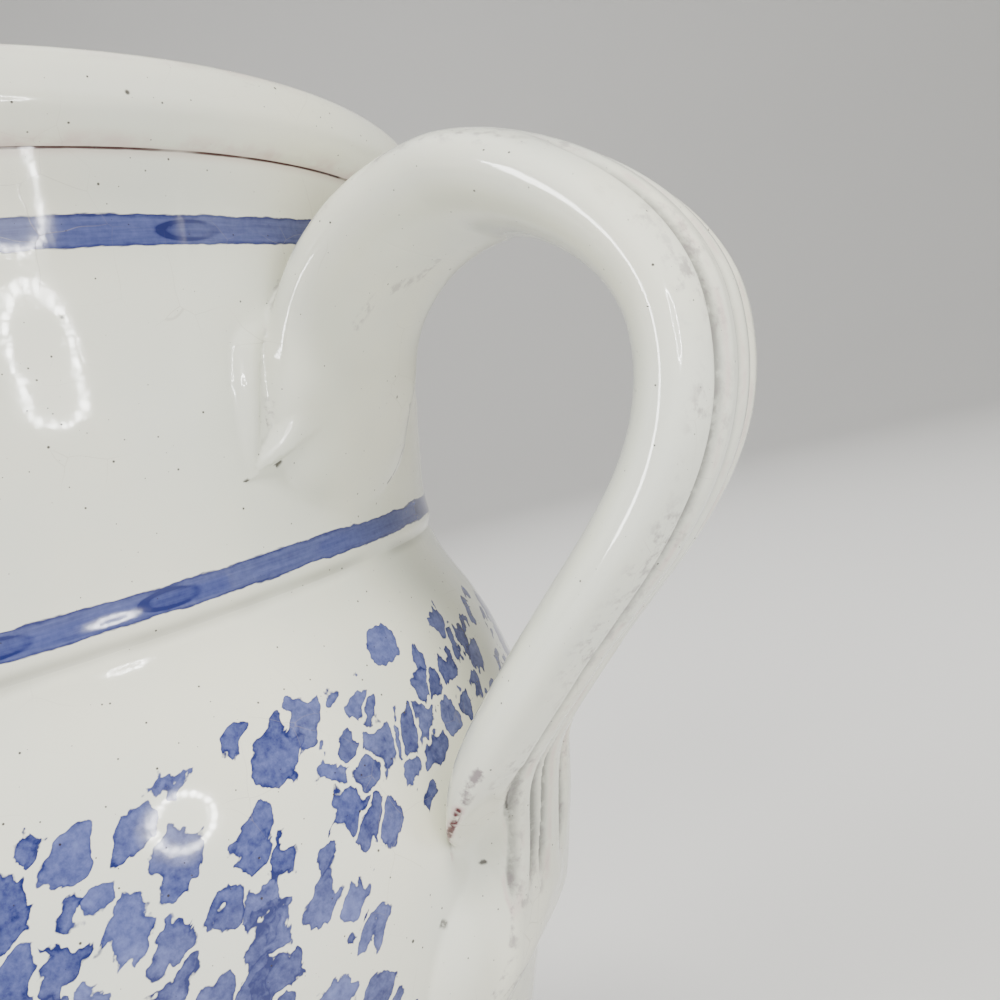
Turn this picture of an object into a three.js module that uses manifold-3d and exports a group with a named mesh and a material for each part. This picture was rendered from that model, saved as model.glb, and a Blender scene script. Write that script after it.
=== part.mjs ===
// Tin-glazed pitcher with a rolled rim, a waisted neck, a round belly and a grooved strap handle.
// Millimetres, +Z up. The origin is the centre of the flat base. The handle points along +X,
// and the pouring lip, opposite the handle, points along -X.

import * as THREE from 'three';
import { mergeVertices } from 'three/addons/utils/BufferGeometryUtils.js';
import Module from 'manifold-3d';

// How tall each stretch of the wall is, from the table up
const FOOT_TALL = 8;
const LOWER_WALL_TALL = 34;
const BELLY_TALL = 48;
const SHOULDER_TALL = 20;
const GROOVE_TALL = 11.5;
const COLLAR_TALL = 21.5;
const NECK_TOP_TALL = 22.7;
const RIM_TALL = 8.1;

// Outer radius at the top of the foot, and how far each stretch above it widens or draws in
const FOOT_TOP_RADIUS = 44.5;
const LOWER_WALL_WIDENS = 10.4;
const BELLY_WIDENS = 12.9;
const SHOULDER_DRAWS_IN = 3.7;
const GROOVE_DRAWS_IN = 4;
const COLLAR_WIDENS = 3.3;
const NECK_TOP_WIDENS = 4.2;

// How fast the outline spreads there, in mm of radius for each mm of height
const FOOT_TOP_SPREAD = 0.22;
const LOWER_WALL_SPREAD = 0.29;
const SHOULDER_SPREAD = -0.36;
const COLLAR_SPREAD = 0.17;
const CREASE_SPREAD = 0.32;

// Thickness of the thrown wall, and how far the foot stands out from it
const WALL = 5.5;
const FOOT_FLARE = 1.5;
const FOOT_BEVEL = 1.2;

// Rolled rim: it is widest a little above the crease and tucks in under that
const RIM_OVERHANG = 3.9;
const RIM_WIDEST_ABOVE_CREASE = 3.8;
const RIM_UNDERCUT = 2.8;
const RIM_SQUARENESS = 2.3;

// Pouring lip, pulled out of the rim and the top of the neck
const LIP_REACH = 15;
const LIP_TALL = 38;
const LIP_SPREAD_DEG = 17;
const LIP_PINCH = 2.2;
const LIP_PINCH_AT_DEG = 34;
const LIP_PINCH_SPREAD_DEG = 11;

// Line of the strap's middle in the plane of the handle, as five knots. Each knot stands off the wall
// at its own height, and its heading is the direction of travel in degrees. The arms at the two ends
// of each stretch say how softly the line turns there.
const TOP_ROOT_ABOVE_GROOVE = 14.6;
const TOP_ROOT_STANDOFF = -0.2;
const TOP_ROOT_HEADING = 87;
const CREST_BELOW_CREASE = 7.8;
const CREST_STANDOFF = 18.4;
const BULGE_BELOW_CREST = 19.4;
const BULGE_STANDOFF = 41.3;
const BEND_BELOW_BULGE = 29.5;
const BEND_STANDOFF = 19.3;
const BEND_HEADING = -135;
const LOW_ROOT_BELOW_BEND = 35.7;
const LOW_ROOT_STANDOFF = -0.3;
const LOW_ROOT_HEADING = -109;
const LINE_ARMS = [[15.3, 11.2], [5.9, 10.9], [13.6, 12.4], [22.4, 28]];

// Strap section: width across and thickness at the top root, at the bulge and at the low root
const STRAP_TOP_WIDTH = 27.5;
const STRAP_BULGE_WIDTH = 34;
const STRAP_LOW_WIDTH = 32;
const STRAP_TOP_THICKNESS = 8.8;
const STRAP_BULGE_THICKNESS = 10;
const STRAP_LOW_THICKNESS = 8;
const STRAP_SQUARENESS = 2.4;
const GROOVE_COUNT = 3;
const GROOVE_PITCH = 7.4;
const GROOVE_WIDTH = 3.6;
const GROOVE_DEPTH = 1.1;

// Clay pressed round the two roots. Each pad is a low mound on the wall, placed from its root.
const TOP_PAD = { aboveRoot: 2, halfWidth: 19, rise: 13, drop: 12, thickness: 4.2 };
const LOW_PAD = { aboveRoot: -5, halfWidth: 22, rise: 20, drop: 22, thickness: 4.6 };
const PAD_FULLNESS = 1.5;
const PAD_EDGE_SINK = 0.6;

// Clearance between pieces that meet on a curved face
const GAP = 0.3;

// Mesh density
const ROUND_STEPS = 64;
const WALL_STEP = 6.5;
const RIM_UNDER_STEPS = 3;
const RIM_TOP_STEPS = 10;
const STRAP_STEPS = 12;
const SECTION_STEPS = 36;
const PAD_RINGS = 7;
const PAD_SPOKES = 36;

const wasm = await Module();
wasm.setup();

const radians = THREE.MathUtils.degToRad;

// Heights above the table

const FOOT_TOP_HEIGHT = FOOT_TALL;
const WAIST_HEIGHT = FOOT_TOP_HEIGHT + LOWER_WALL_TALL;
const BELLY_HEIGHT = WAIST_HEIGHT + BELLY_TALL;
const SHOULDER_HEIGHT = BELLY_HEIGHT + SHOULDER_TALL;
const GROOVE_HEIGHT = SHOULDER_HEIGHT + GROOVE_TALL;
const COLLAR_HEIGHT = GROOVE_HEIGHT + COLLAR_TALL;
const CREASE_HEIGHT = COLLAR_HEIGHT + NECK_TOP_TALL;
const RIM_HEIGHT = CREASE_HEIGHT + RIM_TALL;

// Outer radii there

const WAIST_RADIUS = FOOT_TOP_RADIUS + LOWER_WALL_WIDENS;
const BELLY_RADIUS = WAIST_RADIUS + BELLY_WIDENS;
const SHOULDER_RADIUS = BELLY_RADIUS - SHOULDER_DRAWS_IN;
const GROOVE_RADIUS = SHOULDER_RADIUS - GROOVE_DRAWS_IN;
const COLLAR_RADIUS = GROOVE_RADIUS + COLLAR_WIDENS;
const CREASE_RADIUS = COLLAR_RADIUS + NECK_TOP_WIDENS;

// Heights of the strap's knots

const TOP_ROOT_HEIGHT = GROOVE_HEIGHT + TOP_ROOT_ABOVE_GROOVE;
const CREST_HEIGHT = CREASE_HEIGHT - CREST_BELOW_CREASE;
const BULGE_HEIGHT = CREST_HEIGHT - BULGE_BELOW_CREST;
const BEND_HEIGHT = BULGE_HEIGHT - BEND_BELOW_BULGE;
const LOW_ROOT_HEIGHT = BEND_HEIGHT - LOW_ROOT_BELOW_BEND;

// Outer wall of the thrown pot

const WALL_LINE = [
  { height: FOOT_TOP_HEIGHT, radius: FOOT_TOP_RADIUS, spread: FOOT_TOP_SPREAD },
  { height: WAIST_HEIGHT, radius: WAIST_RADIUS, spread: LOWER_WALL_SPREAD },
  { height: BELLY_HEIGHT, radius: BELLY_RADIUS, spread: 0 },
  { height: SHOULDER_HEIGHT, radius: SHOULDER_RADIUS, spread: SHOULDER_SPREAD },
  { height: GROOVE_HEIGHT, radius: GROOVE_RADIUS, spread: 0 },
  { height: COLLAR_HEIGHT, radius: COLLAR_RADIUS, spread: COLLAR_SPREAD },
  { height: CREASE_HEIGHT, radius: CREASE_RADIUS, spread: CREASE_SPREAD },
];

// A cubic through the landmarks on either side of a height
function wallRadius(height) {
  const last = WALL_LINE.length - 2;
  let i = 0;
  while (i < last && height > WALL_LINE[i + 1].height) i += 1;
  const low = WALL_LINE[i];
  const high = WALL_LINE[i + 1];
  const span = high.height - low.height;
  const t = THREE.MathUtils.clamp((height - low.height) / span, 0, 1);
  const fromLow = (1 + 2 * t) * (1 - t) ** 2 * low.radius + t * (1 - t) ** 2 * span * low.spread;
  const fromHigh = t * t * (3 - 2 * t) * high.radius + t * t * (t - 1) * span * high.spread;
  return fromLow + fromHigh;
}

// Radial push of the pouring lip at an angle round the pot and a height
function lipPush(angle, height) {
  const away = Math.PI - Math.abs(Math.atan2(Math.sin(angle), Math.cos(angle)));
  const bell = (offset, spread) => Math.exp(-((offset / radians(spread)) ** 2));
  const lip = LIP_REACH * bell(away, LIP_SPREAD_DEG);
  const pinch = LIP_PINCH * bell(away - radians(LIP_PINCH_AT_DEG), LIP_PINCH_SPREAD_DEG);
  const rise = THREE.MathUtils.smoothstep(height, RIM_HEIGHT - LIP_TALL, RIM_HEIGHT);
  return (lip - pinch) * rise;
}

// Heights from one landmark to another in steps of about WALL_STEP
function heightsBetween(low, high) {
  const count = Math.max(2, Math.round((high - low) / WALL_STEP));
  return Array.from({ length: count + 1 }, (_, i) => low + ((high - low) * i) / count);
}

// A turned piece: a profile of radius and height revolved, then pushed out at the lip
function turned(profile) {
  const closed = new THREE.LatheGeometry(profile, ROUND_STEPS);
  const place = closed.attributes.position;
  const point = new THREE.Vector3();
  for (let i = 0; i < place.count; i += 1) {
    point.fromBufferAttribute(place, i);
    const radius = Math.hypot(point.x, point.z);
    const angle = Math.atan2(point.x, point.z);
    const pushed = radius > 0 ? radius + lipPush(angle, point.y) : 0;
    place.setXYZ(i, pushed * Math.cos(angle), pushed * Math.sin(angle), point.y);
  }
  closed.computeVertexNormals();
  return closed;
}

// A ring of wall between two landmarks, with flat faces at its top and bottom
function wallRing(low, high) {
  const heights = heightsBetween(low, high);
  const outer = heights.map((z) => new THREE.Vector2(wallRadius(z), z));
  const inner = heights.map((z) => new THREE.Vector2(wallRadius(z) - WALL, z)).reverse();
  return turned([...outer, ...inner, outer[0].clone()]);
}

// The flat-bottomed disc under the wall, bevelled where it meets the table
function footGeometry() {
  const radius = FOOT_TOP_RADIUS + FOOT_FLARE;
  const profile = [
    new THREE.Vector2(0, 0),
    new THREE.Vector2(radius - FOOT_BEVEL, 0),
    new THREE.Vector2(radius, FOOT_BEVEL),
    new THREE.Vector2(FOOT_TOP_RADIUS, FOOT_TOP_HEIGHT),
    new THREE.Vector2(0, FOOT_TOP_HEIGHT),
  ];
  return turned(profile);
}

// The rolled rim: a tucked-in underside, a rounded top and a straight inner face
function rimGeometry() {
  const insideRadius = CREASE_RADIUS - WALL;
  const halfWidth = (WALL + RIM_OVERHANG) / 2;
  const middle = insideRadius + halfWidth;
  const widest = middle + halfWidth;
  const halfHeight = RIM_TALL - RIM_WIDEST_ABOVE_CREASE;
  const power = 2 / RIM_SQUARENESS;
  const profile = [];
  for (let i = RIM_UNDER_STEPS; i > 0; i -= 1) {
    const down = i / RIM_UNDER_STEPS;
    const tuck = RIM_UNDERCUT * down ** RIM_SQUARENESS;
    const drop = RIM_WIDEST_ABOVE_CREASE * (1 - down);
    profile.push(new THREE.Vector2(widest - tuck, CREASE_HEIGHT + drop));
  }
  for (let i = 0; i <= RIM_TOP_STEPS; i += 1) {
    const angle = (Math.PI * i) / RIM_TOP_STEPS;
    const c = Math.cos(angle);
    const x = middle + halfWidth * Math.sign(c) * Math.abs(c) ** power;
    const z = RIM_HEIGHT - halfHeight * (1 - Math.sin(angle) ** power);
    profile.push(new THREE.Vector2(x, z));
  }
  profile.push(new THREE.Vector2(insideRadius, CREASE_HEIGHT), profile[0].clone());
  return turned(profile);
}

// Booleans on closed meshes

function solidOf(geometry) {
  const bare = geometry.clone();
  bare.deleteAttribute('normal');
  bare.deleteAttribute('uv');
  const merged = mergeVertices(bare, 1e-4);
  const vertProperties = new Float32Array(merged.attributes.position.array);
  const triVerts = new Uint32Array(merged.index.array);
  return new wasm.Manifold(new wasm.Mesh({ numProp: 3, vertProperties, triVerts }));
}

function geometryOf(solid) {
  const mesh = solid.getMesh();
  const geometry = new THREE.BufferGeometry();
  geometry.setAttribute('position', new THREE.BufferAttribute(mesh.vertProperties, 3));
  geometry.setIndex(new THREE.BufferAttribute(mesh.triVerts, 1));
  geometry.computeVertexNormals();
  return geometry;
}

// The whole pot as one filled shape, grown by a clearance, to cut the handle's pieces with
function potFilled(clearance) {
  const heights = [
    ...heightsBetween(FOOT_TOP_HEIGHT, GROOVE_HEIGHT),
    ...heightsBetween(GROOVE_HEIGHT, CREASE_HEIGHT).slice(1),
  ];
  const wall = heights.map((z) => new THREE.Vector2(wallRadius(z) + clearance, z));
  const profile = [new THREE.Vector2(0, FOOT_TOP_HEIGHT), ...wall, new THREE.Vector2(0, CREASE_HEIGHT)];
  return solidOf(turned(profile));
}

// Closed skin over rings of points, each ring with the same count, capped at both ends
function skinOver(rings) {
  const count = rings[0].length;
  const points = rings.flat();
  const middleOf = (ring) => ring.reduce((sum, p) => sum.add(p), new THREE.Vector3())
    .divideScalar(count);
  const startCap = points.length;
  const endCap = startCap + 1;
  points.push(middleOf(rings[0]), middleOf(rings[rings.length - 1]));
  const index = [];
  for (let r = 0; r + 1 < rings.length; r += 1) {
    for (let i = 0; i < count; i += 1) {
      const next = (i + 1) % count;
      const a = r * count + i;
      const b = r * count + next;
      index.push(a, b, a + count, b, b + count, a + count);
    }
  }
  const lastRing = (rings.length - 1) * count;
  for (let i = 0; i < count; i += 1) {
    const next = (i + 1) % count;
    index.push(startCap, next, i);
    index.push(endCap, lastRing + i, lastRing + next);
  }
  const geometry = new THREE.BufferGeometry().setFromPoints(points);
  geometry.setIndex(index);
  geometry.computeVertexNormals();
  return geometry;
}

// Strap handle

function headingVector(degrees) {
  return new THREE.Vector3(Math.cos(radians(degrees)), 0, Math.sin(radians(degrees)));
}

// The strap's middle line: four cubic stretches through five knots
function strapLine() {
  const knotAt = (height, standoff, heading) => ({
    place: new THREE.Vector3(wallRadius(height) + standoff, 0, height),
    heading: headingVector(heading),
  });
  const knots = [
    knotAt(TOP_ROOT_HEIGHT, TOP_ROOT_STANDOFF, TOP_ROOT_HEADING),
    knotAt(CREST_HEIGHT, CREST_STANDOFF, 0),
    knotAt(BULGE_HEIGHT, BULGE_STANDOFF, -90),
    knotAt(BEND_HEIGHT, BEND_STANDOFF, BEND_HEADING),
    knotAt(LOW_ROOT_HEIGHT, LOW_ROOT_STANDOFF, LOW_ROOT_HEADING),
  ];
  const line = new THREE.CurvePath();
  LINE_ARMS.forEach(([leave, arrive], i) => {
    const from = knots[i];
    const to = knots[i + 1];
    const leaving = from.place.clone().addScaledVector(from.heading, leave);
    const arriving = to.place.clone().addScaledVector(to.heading, -arrive);
    line.add(new THREE.CubicBezierCurve3(from.place, leaving, arriving, to.place));
  });
  return line;
}

// Value along the strap: one at the top root, one at the bulge, one at the low root
function alongStrap(t, top, bulge, low) {
  const half = t < 0.5;
  const eased = THREE.MathUtils.smoothstep(half ? t : t - 0.5, 0, 0.5);
  return half ? THREE.MathUtils.lerp(top, bulge, eased) : THREE.MathUtils.lerp(bulge, low, eased);
}

// Depth of the grooves at a place across the strap
function grooveDepth(across) {
  let depth = 0;
  for (let i = 0; i < GROOVE_COUNT; i += 1) {
    const centre = (i - (GROOVE_COUNT - 1) / 2) * GROOVE_PITCH;
    const offset = Math.abs(across - centre) / (GROOVE_WIDTH / 2);
    if (offset < 1) depth += GROOVE_DEPTH * Math.cos((offset * Math.PI) / 2) ** 2;
  }
  return depth;
}

// One section of the strap: a rounded bar with grooves in its outer face. With a clearance it has no
// grooves and reaches on inward by the tuck, so that what it cuts leaves nothing under the strap.
function strapSection(middle, heading, t, grow, tuck) {
  const width = alongStrap(t, STRAP_TOP_WIDTH, STRAP_BULGE_WIDTH, STRAP_LOW_WIDTH);
  const thickness = alongStrap(t, STRAP_TOP_THICKNESS, STRAP_BULGE_THICKNESS, STRAP_LOW_THICKNESS);
  const outward = new THREE.Vector3(-heading.z, 0, heading.x);
  const power = 2 / STRAP_SQUARENESS;
  const ring = [];
  for (let i = 0; i < SECTION_STEPS; i += 1) {
    const angle = (2 * Math.PI * i) / SECTION_STEPS;
    const c = Math.cos(angle);
    const s = Math.sin(angle);
    const across = (width / 2 + grow) * Math.sign(c) * Math.abs(c) ** power;
    const out = (thickness / 2 + grow) * Math.sign(s) * Math.abs(s) ** power;
    const groove = s > 0 && grow === 0 ? grooveDepth(across) : 0;
    const under = s < 0 ? tuck : 0;
    ring.push(middle.clone().addScaledVector(outward, out - groove - under).setY(across));
  }
  return ring;
}

// The strap with its root ends still whole, grown by a clearance where asked
function strapWhole(grow, tuck) {
  const line = strapLine();
  const rings = [];
  line.curves.forEach((stretch, k) => {
    for (let i = k === 0 ? 0 : 1; i <= STRAP_STEPS; i += 1) {
      const t = i / STRAP_STEPS;
      const share = (k + t) / line.curves.length;
      const heading = stretch.getTangent(t);
      rings.push(strapSection(stretch.getPoint(t), heading, share, grow, tuck));
    }
  });
  return solidOf(skinOver(rings));
}

// Clay pads at the roots

// A point on the wall at a distance round it and a height, lifted off it
function onWall(across, height, lift) {
  const radius = wallRadius(height);
  const angle = across / radius;
  const reach = radius + lift;
  return new THREE.Vector3(reach * Math.cos(angle), reach * Math.sin(angle), height);
}

// A low mound on the wall: an egg-shaped outline that swells to its full thickness at the middle
function padWhole(pad, rootHeight) {
  const ringAt = (share, lift) => {
    const ring = [];
    for (let i = 0; i < PAD_SPOKES; i += 1) {
      const angle = (2 * Math.PI * i) / PAD_SPOKES;
      const reach = Math.sin(angle) > 0 ? pad.rise : pad.drop;
      const across = pad.halfWidth * share * Math.cos(angle);
      const height = rootHeight + pad.aboveRoot + reach * share * Math.sin(angle);
      ring.push(onWall(across, height, lift));
    }
    return ring;
  };
  const under = [];
  const over = [];
  for (let i = 1; i <= PAD_RINGS; i += 1) {
    const share = i / PAD_RINGS;
    const swell = (pad.thickness + PAD_EDGE_SINK) * (1 - share * share) ** PAD_FULLNESS;
    under.push(ringAt(share, -WALL / 2));
    over.push(ringAt(share, GAP - PAD_EDGE_SINK + swell));
  }
  return solidOf(skinOver([...under, ...over.reverse()]));
}

// Materials

const GLAZE_WHITE = 0xdedcd6;
const GLAZE_SPONGED = 0xb9bedb;

function glaze(color) {
  return new THREE.MeshStandardMaterial({ color, roughness: 0.12, metalness: 0 });
}

function piece(name, geometry, color) {
  const mesh = new THREE.Mesh(geometry, glaze(color));
  mesh.name = name;
  return mesh;
}

// Assembly

const pot = potFilled(GAP);
const strap = strapWhole(0, 0).subtract(pot);
const strapRoom = strapWhole(GAP, WALL);
const topPad = padWhole(TOP_PAD, TOP_ROOT_HEIGHT).subtract(pot).subtract(strapRoom);
const lowPad = padWhole(LOW_PAD, LOW_ROOT_HEIGHT).subtract(pot).subtract(strapRoom);

const group = new THREE.Group();
group.add(piece('foot', footGeometry(), GLAZE_WHITE));
group.add(piece('belly', wallRing(FOOT_TOP_HEIGHT, GROOVE_HEIGHT), GLAZE_SPONGED));
group.add(piece('neck', wallRing(GROOVE_HEIGHT, CREASE_HEIGHT), GLAZE_WHITE));
group.add(piece('rim_roll', rimGeometry(), GLAZE_WHITE));
group.add(piece('handle_strap', geometryOf(strap), GLAZE_WHITE));
group.add(piece('handle_top_join', geometryOf(topPad), GLAZE_WHITE));
group.add(piece('handle_bottom_join', geometryOf(lowPad), GLAZE_WHITE));

export default group;
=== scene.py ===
# %% [markdown]
# # A tin-glazed pitcher
# A thrown earthenware pot with a rolled rim, a waisted neck, a round belly and a pulled strap
# handle. It is dipped in white tin glaze, and the cobalt is put on top before the firing: two
# brushed bands on the neck, and dabs of a torn sponge all over the belly. This lesson dresses the
# packed solids, which give every place and size. The first cell loads them.

# %% Load the packed solids
import math

import bpy
import numpy as np
from mathutils import Matrix, Vector


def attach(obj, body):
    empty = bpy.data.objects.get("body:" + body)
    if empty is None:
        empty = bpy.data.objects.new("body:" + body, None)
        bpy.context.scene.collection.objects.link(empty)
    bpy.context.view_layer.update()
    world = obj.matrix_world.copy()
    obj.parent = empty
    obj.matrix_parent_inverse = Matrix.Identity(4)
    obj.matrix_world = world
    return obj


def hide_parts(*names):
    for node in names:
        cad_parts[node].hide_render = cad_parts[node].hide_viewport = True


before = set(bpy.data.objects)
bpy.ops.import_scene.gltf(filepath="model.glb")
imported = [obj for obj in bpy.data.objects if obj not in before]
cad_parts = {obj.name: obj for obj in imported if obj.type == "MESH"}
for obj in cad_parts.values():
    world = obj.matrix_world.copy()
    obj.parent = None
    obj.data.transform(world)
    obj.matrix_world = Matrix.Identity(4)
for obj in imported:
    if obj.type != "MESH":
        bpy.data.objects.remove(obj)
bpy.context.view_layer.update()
MM = 0.001
print("solids:", sorted(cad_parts))

# %% [markdown]
# ## The camera
# It stands close to the neck, a little in front of the handle, and it is held at a slant. Its three
# axes are kept as rows: to the right, up and forward in the picture. The camera comes first because
# every later choice, such as how fine a mesh has to be, depends on how close it stands.

# %% Set up the camera
CAMERA_PLACE = Vector((119.93, -92.03, 132.11)) * MM
PICTURE_RIGHT = Vector((0.88827, 0.38393, -0.25212))
PICTURE_UP = Vector((0.20176, 0.16696, 0.96510))
FORWARD = Vector((-0.41263, 0.90813, -0.07084))
FOCAL_PIXELS, PICTURE_PIXELS = 900, 1000

camera = bpy.data.objects.new("camera", bpy.data.cameras.new("camera"))
bpy.context.scene.collection.objects.link(camera)
camera.matrix_world = Matrix.Translation(CAMERA_PLACE) @ Matrix(
    (PICTURE_RIGHT, PICTURE_UP, -FORWARD)).transposed().to_4x4()
camera.data.sensor_width = 36
camera.data.lens = camera.data.sensor_width * FOCAL_PIXELS / PICTURE_PIXELS
camera.data.clip_start, camera.data.clip_end = 0.002, 50
bpy.context.scene.camera = camera
print(f"lens {camera.data.lens:.1f} mm, {CAMERA_PLACE.xy.length / MM:.0f} mm from the pot's axis")

# %% [markdown]
# ## A bench for node trees
# Shape and glaze are both written as node trees. They could be put together by hand in the editor,
# but a tree full of sums is easier to read and to change as text. A `Wire` wraps one socket, and
# Python's operators on it add Math nodes, so `1 - (z - low) / tall` can be read as it is. A plain
# number can't add a node, so where one has to come first, `Number` is a float that knows its bench.


# %% Wires and numbers
class Wire:
    def __init__(self, bench, socket):
        self.bench, self.socket = bench, socket

    def maths(self, operation, *others):
        return self.bench.add("ShaderNodeMath", {"operation": operation}, (self, *others))

    def __add__(self, other): return self.maths("ADD", other)
    def __sub__(self, other): return self.maths("SUBTRACT", other)
    def __mul__(self, other): return self.maths("MULTIPLY", other)
    def __truediv__(self, other): return self.maths("DIVIDE", other)
    def __rsub__(self, other): return self.bench.value(other).maths("SUBTRACT", self)
    def __rtruediv__(self, other): return self.bench.value(other).maths("DIVIDE", self)
    def __pow__(self, other): return self.maths("POWER", other)
    def __neg__(self): return self * -1
    def __abs__(self): return self.maths("ABSOLUTE")
    __radd__ = __add__
    __rmul__ = __mul__

    def at_most(self, other): return self.maths("MINIMUM", other)
    def at_least(self, other): return self.maths("MAXIMUM", other)
    def cos(self): return self.maths("COSINE")
    def sin(self): return self.maths("SINE")
    def exp(self): return self.maths("EXPONENT")
    def sign(self): return self.maths("SIGN")
    def floor(self): return self.maths("FLOOR")

    def rises(self, low, high):
        """0 below low, 1 above high, and a smooth step between them."""
        return self.bench.add("ShaderNodeMapRange", {"interpolation_type": "SMOOTHSTEP"},
                              {"Value": self, "From Min": low, "From Max": high})


class Number(float):
    """A plain number that can start a sum with a Wire."""

    def __new__(cls, value, bench):
        made = super().__new__(cls, value)
        made.bench = bench
        return made

    def maths(self, operation, *others):
        return self.bench.add("ShaderNodeMath", {"operation": operation}, (float(self), *others))


print(sum(callable(way) for way in vars(Wire).values()), "ways to use a wire")

# %% [markdown]
# Every other node comes from `Bench.add`, which takes the node's type, its settings, and the values
# or wires of its sockets. The settings are made first, because they decide which sockets a node
# shows. A socket is picked by its name, or by its place among those that are shown.


# %% Bench
class Bench:
    def __init__(self, tree):
        self.tree = tree

    def value(self, number):
        return Number(number, self)

    def add(self, kind, settings=None, inputs=(), output=0):
        node = self.tree.nodes.new(kind)
        for name, setting in (settings or {}).items():
            setattr(node, name, setting)
        shown = [s for s in node.inputs if s.enabled]
        pairs = inputs.items() if isinstance(inputs, dict) else enumerate(inputs)
        for key, given in pairs:
            socket = shown[key] if isinstance(key, int) else next(s for s in shown if s.name == key)
            if isinstance(given, Wire):
                self.tree.links.new(given.socket, socket)
            elif given is not None:
                socket.default_value = given
        outputs = [s for s in node.outputs if s.enabled]
        chosen = outputs[output] if isinstance(output, int) else next(
            s for s in outputs if s.name == output)
        return Wire(self, chosen)

    def other(self, wire, name):
        """Another output of the node that a Wire comes from."""
        return Wire(self, next(s for s in wire.socket.node.outputs if s.enabled and s.name == name))

    def vector(self, x, y, z):
        return self.add("ShaderNodeCombineXYZ", inputs=(x, y, z))

    def parts(self, wire):
        split = self.add("ShaderNodeSeparateXYZ", inputs=(wire,))
        return split, self.other(split, "Y"), self.other(split, "Z")

    def noise(self, place, scale, detail=2.0, roughness=0.5):
        return self.add("ShaderNodeTexNoise", inputs={
            "Vector": place, "Scale": scale, "Detail": detail, "Roughness": roughness})


print(sum(callable(way) for way in vars(Bench).values()), "ways to use the bench")

# %% [markdown]
# ## Shape trees
# A Geometry Nodes tree is used for the two shapes that follow a rule: the thrown wall, which is a
# profile turned about the axis, and the strap, which is a section led along a line. The Screw
# modifier and a bevelled curve come close, but neither can pull a lip or press grooves into what it
# makes. Each tree starts from the points of that profile or line, has named inputs for its sizes,
# and ends by making everything real and giving it its material.


# %% Start and end of a shape tree
def shape_tree(name, inputs):
    """A tree with a Geometry input, the given number and material inputs, and a Geometry output."""
    tree = bpy.data.node_groups.new(name, "GeometryNodeTree")
    tree.interface.new_socket("Geometry", in_out="OUTPUT", socket_type="NodeSocketGeometry")
    tree.interface.new_socket("Geometry", in_out="INPUT", socket_type="NodeSocketGeometry")
    for label, kind in inputs.items():
        tree.interface.new_socket(label, in_out="INPUT", socket_type="NodeSocket" + kind)
    bench = Bench(tree)
    start = tree.nodes.new("NodeGroupInput")
    given = {s.name: Wire(bench, s) for s in start.outputs if s.name}
    return bench, given


def end_tree(bench, geometry, material):
    real = bench.add("GeometryNodeRealizeInstances", inputs=(geometry,))
    dressed = bench.add("GeometryNodeSetMaterial", inputs={"Geometry": real, "Material": material})
    end = bench.tree.nodes.new("NodeGroupOutput")
    bench.tree.links.new(dressed.socket, end.inputs["Geometry"])


print("a shape tree takes a line of points and gives a dressed mesh")

# %% [markdown]
# A mesh is measured by its signed volume: the sum of the wedges between each triangle and the
# origin. It is above zero only where the faces point outwards, so one number tells how much clay
# there is and that no shape is inside out.


# %% Measure a mesh
def places_of(mesh):
    places = np.empty(len(mesh.vertices) * 3)
    mesh.vertices.foreach_get("co", places)
    return places.reshape(-1, 3)


def volume(mesh):
    """Signed volume, which is positive where the faces point outwards."""
    mesh.calc_loop_triangles()
    corners = np.empty(len(mesh.loop_triangles) * 3, np.int32)
    mesh.loop_triangles.foreach_get("vertices", corners)
    a, b, c = places_of(mesh)[corners.reshape(-1, 3)].transpose(1, 0, 2)
    return float(np.einsum("ij,ij->i", a, np.cross(b, c)).sum() / 6)


corner = bpy.data.meshes.new("corner")
corner.from_pydata([(0, 0, 0), (1, 0, 0), (0, 1, 0), (0, 0, 1)], [],
                   [(0, 2, 1), (0, 1, 3), (0, 3, 2), (1, 2, 3)])
print("a corner cut off a cube is a sixth of it:", round(volume(corner), 3))
bpy.data.meshes.remove(corner)

# %% [markdown]
# A tree needs an object to work on. A line of points gets a Nodes modifier, and the modifier's
# inputs are set by their identifiers before anything is evaluated. The result is copied to a plain
# mesh, and the modifier goes. All is shaded smooth, apart from edges that turn more than a limit.
# The glazes are named here and finished later, because each tree puts one on its mesh.

# %% Run a shape tree
SHARP_ABOVE_DEG = 38
GLAZES = {name: bpy.data.materials.new(name) for name in (
    "plain_glaze", "banded_glaze", "sponged_glaze", "handle_glaze", "foot_glaze")}


def run_tree(name, tree, points, attributes, sizes):
    """Feeds a line of points (mm) to a tree and keeps the result as a plain mesh at the origin."""
    line = bpy.data.meshes.new(name)
    edges = [(i, i + 1) for i in range(len(points) - 1)]
    line.from_pydata([tuple(p * MM) for p in points], edges, [])
    for label, values in attributes.items():
        line.attributes.new(label, "FLOAT", "POINT").data.foreach_set("value", values)
    made = bpy.data.objects.new(name, line)
    bpy.context.scene.collection.objects.link(made)
    modifier = made.modifiers.new("shape", "NODES")
    modifier.node_group = tree
    for item in tree.interface.items_tree:
        if item.in_out == "INPUT" and item.name in sizes:
            modifier[item.identifier] = sizes[item.name]
    graph = bpy.context.evaluated_depsgraph_get()
    result = bpy.data.meshes.new_from_object(made.evaluated_get(graph), depsgraph=graph)
    made.modifiers.remove(modifier)
    made.data = result
    result.name = name
    result.shade_smooth()
    result.set_sharp_from_angle(angle=math.radians(SHARP_ABOVE_DEG))
    print(f"{name}: {len(result.vertices)} points, {volume(result) / MM ** 3 / 1000:.1f} cm3")
    return made


print("materials to finish:", sorted(GLAZES))

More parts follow.
